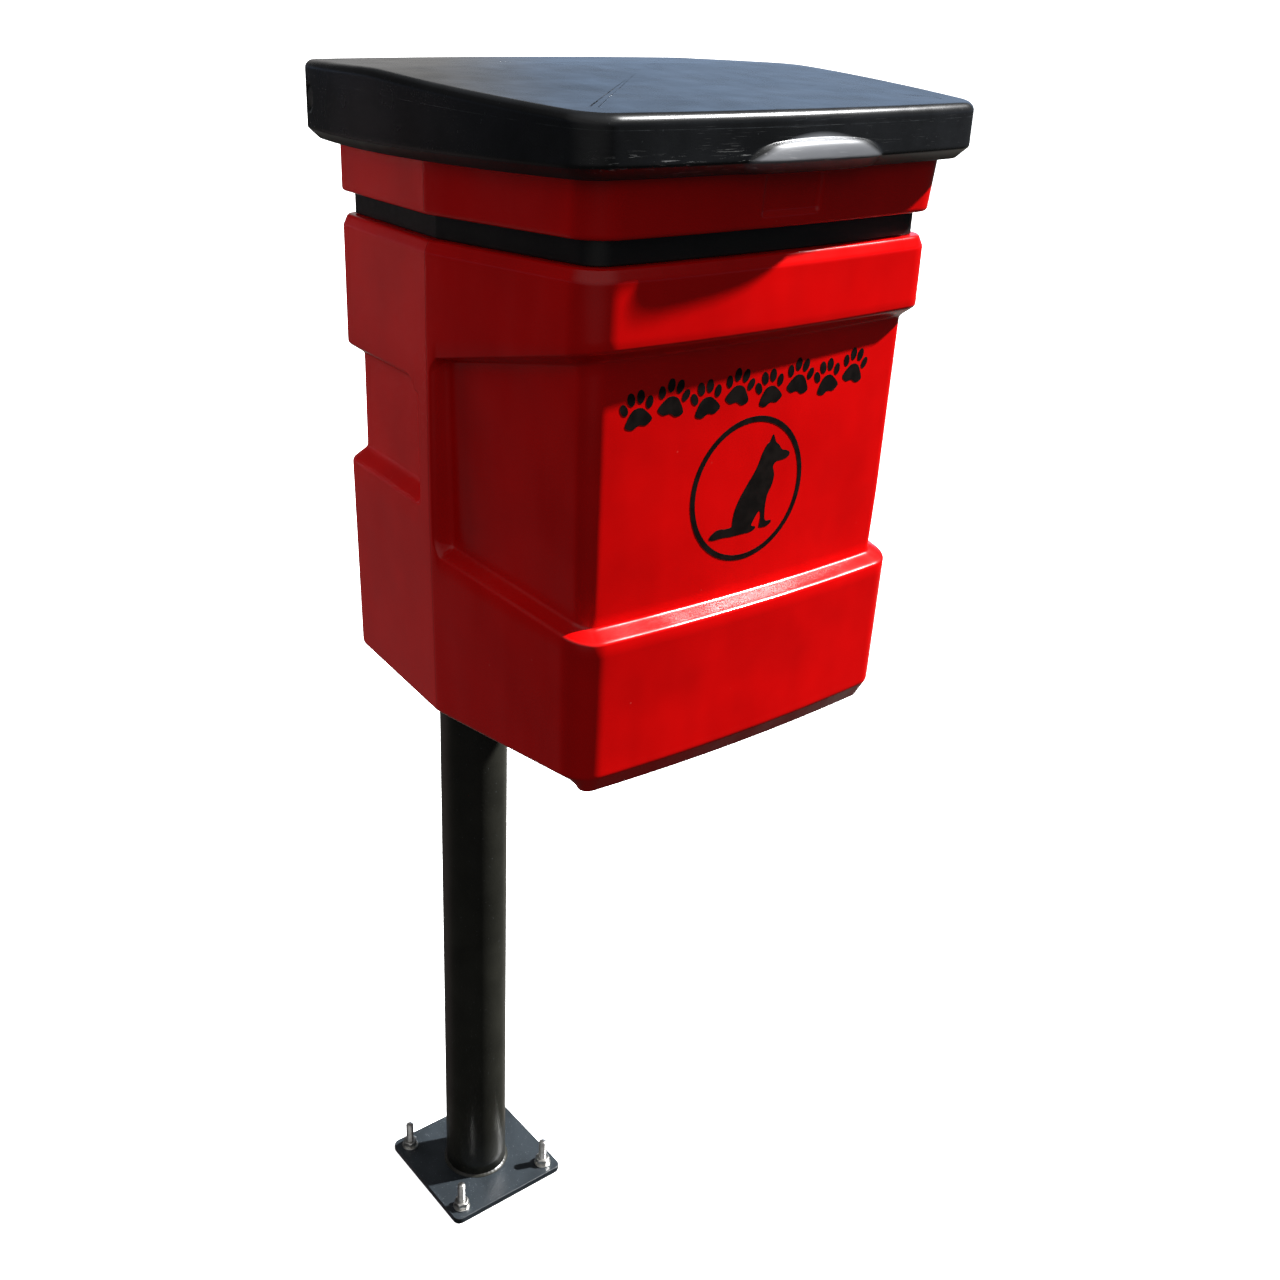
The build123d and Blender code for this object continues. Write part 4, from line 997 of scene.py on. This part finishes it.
def paint_nodes():
    """Finishes for the CAD nodes that stay in view."""
    looks = {"post_cap": SATIN, "hinge_bushes": NYLON,
             "lid_buffers": RUBBER, "lower_post_bracket": BRACKET, "upper_post_bracket": BRACKET,
             "lower_post_clamp": BRACKET, "upper_post_clamp": BRACKET, "clamp_bolts": ZINC,
             "clamp_washers": ZINC, "clamp_nuts": ZINC, "backing_plates": ZINC, "bracket_bolts": ZINC,
             "bracket_nuts": ZINC}
    for name, material in looks.items():
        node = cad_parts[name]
        node.data.materials.clear()
        node.data.materials.append(material)


# ---------------------------------------------------------------- studio
def build_camera():
    """A camera a little above the lid, to the front-left, tilted down and very slightly rolled."""
    azimuth, pitch, roll = (math.radians(v) for v in (-36.71, 23.27, 1.16))
    right = Vector((math.cos(azimuth), math.sin(azimuth), 0))
    level = math.cos(pitch)
    ahead = Vector((-math.sin(azimuth) * level, math.cos(azimuth) * level, -math.sin(pitch)))
    up = right.cross(ahead)
    x_axis = right * math.cos(roll) + up * math.sin(roll)
    y_axis = up * math.cos(roll) - right * math.sin(roll)
    turn = Matrix((x_axis, y_axis, -ahead)).transposed().to_4x4()
    data = bpy.data.cameras.new("camera")
    data.lens, data.sensor_width = 39.12, 36.0
    data.shift_x, data.shift_y = 0.0663, -0.0248
    data.clip_start, data.clip_end = 0.05, 60
    camera = bpy.data.objects.new("camera", data)
    camera.matrix_world = Matrix.Translation((-0.7617, -1.1712, 1.3891)) @ turn
    bpy.context.scene.collection.objects.link(camera)
    bpy.context.scene.camera = camera


def area_light(name, place, target, size, power, colour=(1, 1, 1)):
    """A square softbox at a place that faces a target and isn't seen itself."""
    data = bpy.data.lights.new(name, "AREA")
    data.shape, data.size, data.size_y = "RECTANGLE", *size
    data.energy, data.color = power, colour
    lamp = bpy.data.objects.new(name, data)
    lamp.location = place
    lamp.rotation_mode = "QUATERNION"
    lamp.rotation_quaternion = (Vector(target) - Vector(place)).to_track_quat("-Z", "Y")
    lamp.visible_camera = False
    bpy.context.scene.collection.objects.link(lamp)


def backdrop():
    """A pale round floor whose rim curves up into a low wall: its rim's section is a quarter arc."""
    t = np.linspace(0, math.pi / 2, 16)
    radius = np.concatenate([[0, 2, 5], 9 + 3 * np.sin(t), [12]])
    height = np.concatenate([[0, 0, 0], 3 * (1 - np.cos(t)), [5]])
    mesh = mesh_from_grid("backdrop", turned(np.stack([radius, height], 1), (0, 0, 0), around=96)[:, ::-1])
    floor = bpy.data.objects.new("backdrop", mesh)
    bpy.context.scene.collection.objects.link(floor)
    p = Paint("pale_paper")
    mesh.materials.append(p.finish((0.80, 0.80, 0.80, 1), p.range(p.noise(0.5, 2), 0.75, 0.85),
                                  **{"Emission Color": (1, 1, 1, 1), "Emission Strength": 0.95}))
    floor.visible_glossy = False
    floor.visible_diffuse = False
    floor.visible_shadow = False


def surround():
    """The world, by direction: dark below the horizon, blue-grey just above it and dim overhead,
    with soft patches: pale above the front-left, and grey, brown and blue low behind the bin."""
    world = bpy.data.worlds.new("surround")
    bpy.context.scene.world = world
    world.use_nodes = True
    p = Paint("surround", world.node_tree)
    toward = p.node("ShaderNodeTexCoord", {}, {}, "Generated")
    height = p.node("ShaderNodeSeparateXYZ", {}, {"Vector": toward}, "Z")
    bands = [(0.0, (0.030, 0.030, 0.028)), (0.44, (0.030, 0.030, 0.030)), (0.485, (0.012, 0.012, 0.012)),
             (0.50, (0.050, 0.062, 0.085)), (0.51, (0.095, 0.120, 0.170)), (0.545, (0.085, 0.105, 0.140)),
             (0.59, (0.028, 0.030, 0.033)), (1.0, (0.060, 0.060, 0.060))]
    sky = p.node("ShaderNodeValToRGB", {"stops": bands}, {0: height * 0.5 + 0.5})

    def patch(sky, aim, edge, core, colour):
        """A soft round patch of the surround about a direction."""
        spot = {0: toward, 1: tuple(Vector(aim).normalized())}
        near = p.node("ShaderNodeVectorMath", {"operation": "DOT_PRODUCT"}, spot, "Value")
        return p.mix(sky, (*colour, 1), near.above(edge, core))

    sky = patch(sky, (-0.45, -0.55, 0.72), 0.45, 0.90, (0.42, 0.42, 0.42))
    sky = patch(sky, (-0.42, 0.80, -0.42), 0.88, 0.985, (0.13, 0.105, 0.105))
    sky = patch(sky, (0.62, 0.55, -0.50), 0.80, 0.97, (0.42, 0.40, 0.36))
    sky = patch(sky, (0.438, 0.899, 0.095), 0.945, 0.975, (0.50, 0.49, 0.48))
    sky = patch(sky, (0.766, 0.643, 0.110), 0.950, 0.970, (0.40, 0.56, 0.82))
    p.tree.links.new(sky.socket, p.tree.nodes["Background"].inputs[0])


def build_studio():
    """A pale backdrop, one key from the upper right, a card behind the left and a dim surround."""
    backdrop()
    surround()
    key = bpy.data.lights.new("key", "SUN")
    key.energy, key.angle = 11.0, math.radians(2.0)
    lamp = bpy.data.objects.new("key", key)
    lamp.rotation_mode = "QUATERNION"
    lamp.rotation_quaternion = Vector((0.65, -0.24, 0.72)).to_track_quat("Z", "Y")
    bpy.context.scene.collection.objects.link(lamp)
    area_light("rear_card", (-1.1, 2.5, 1.25), (0, -0.2, 1.05), (1.6, 1.6), 40, (1.0, 0.90, 0.90))
    bpy.data.objects["rear_card"].visible_glossy = False
    bpy.context.scene.view_settings.view_transform = "Standard"


build_body()
build_lid()
build_prints()
build_post()
build_anchors()
paint_nodes()
build_camera()
build_studio()
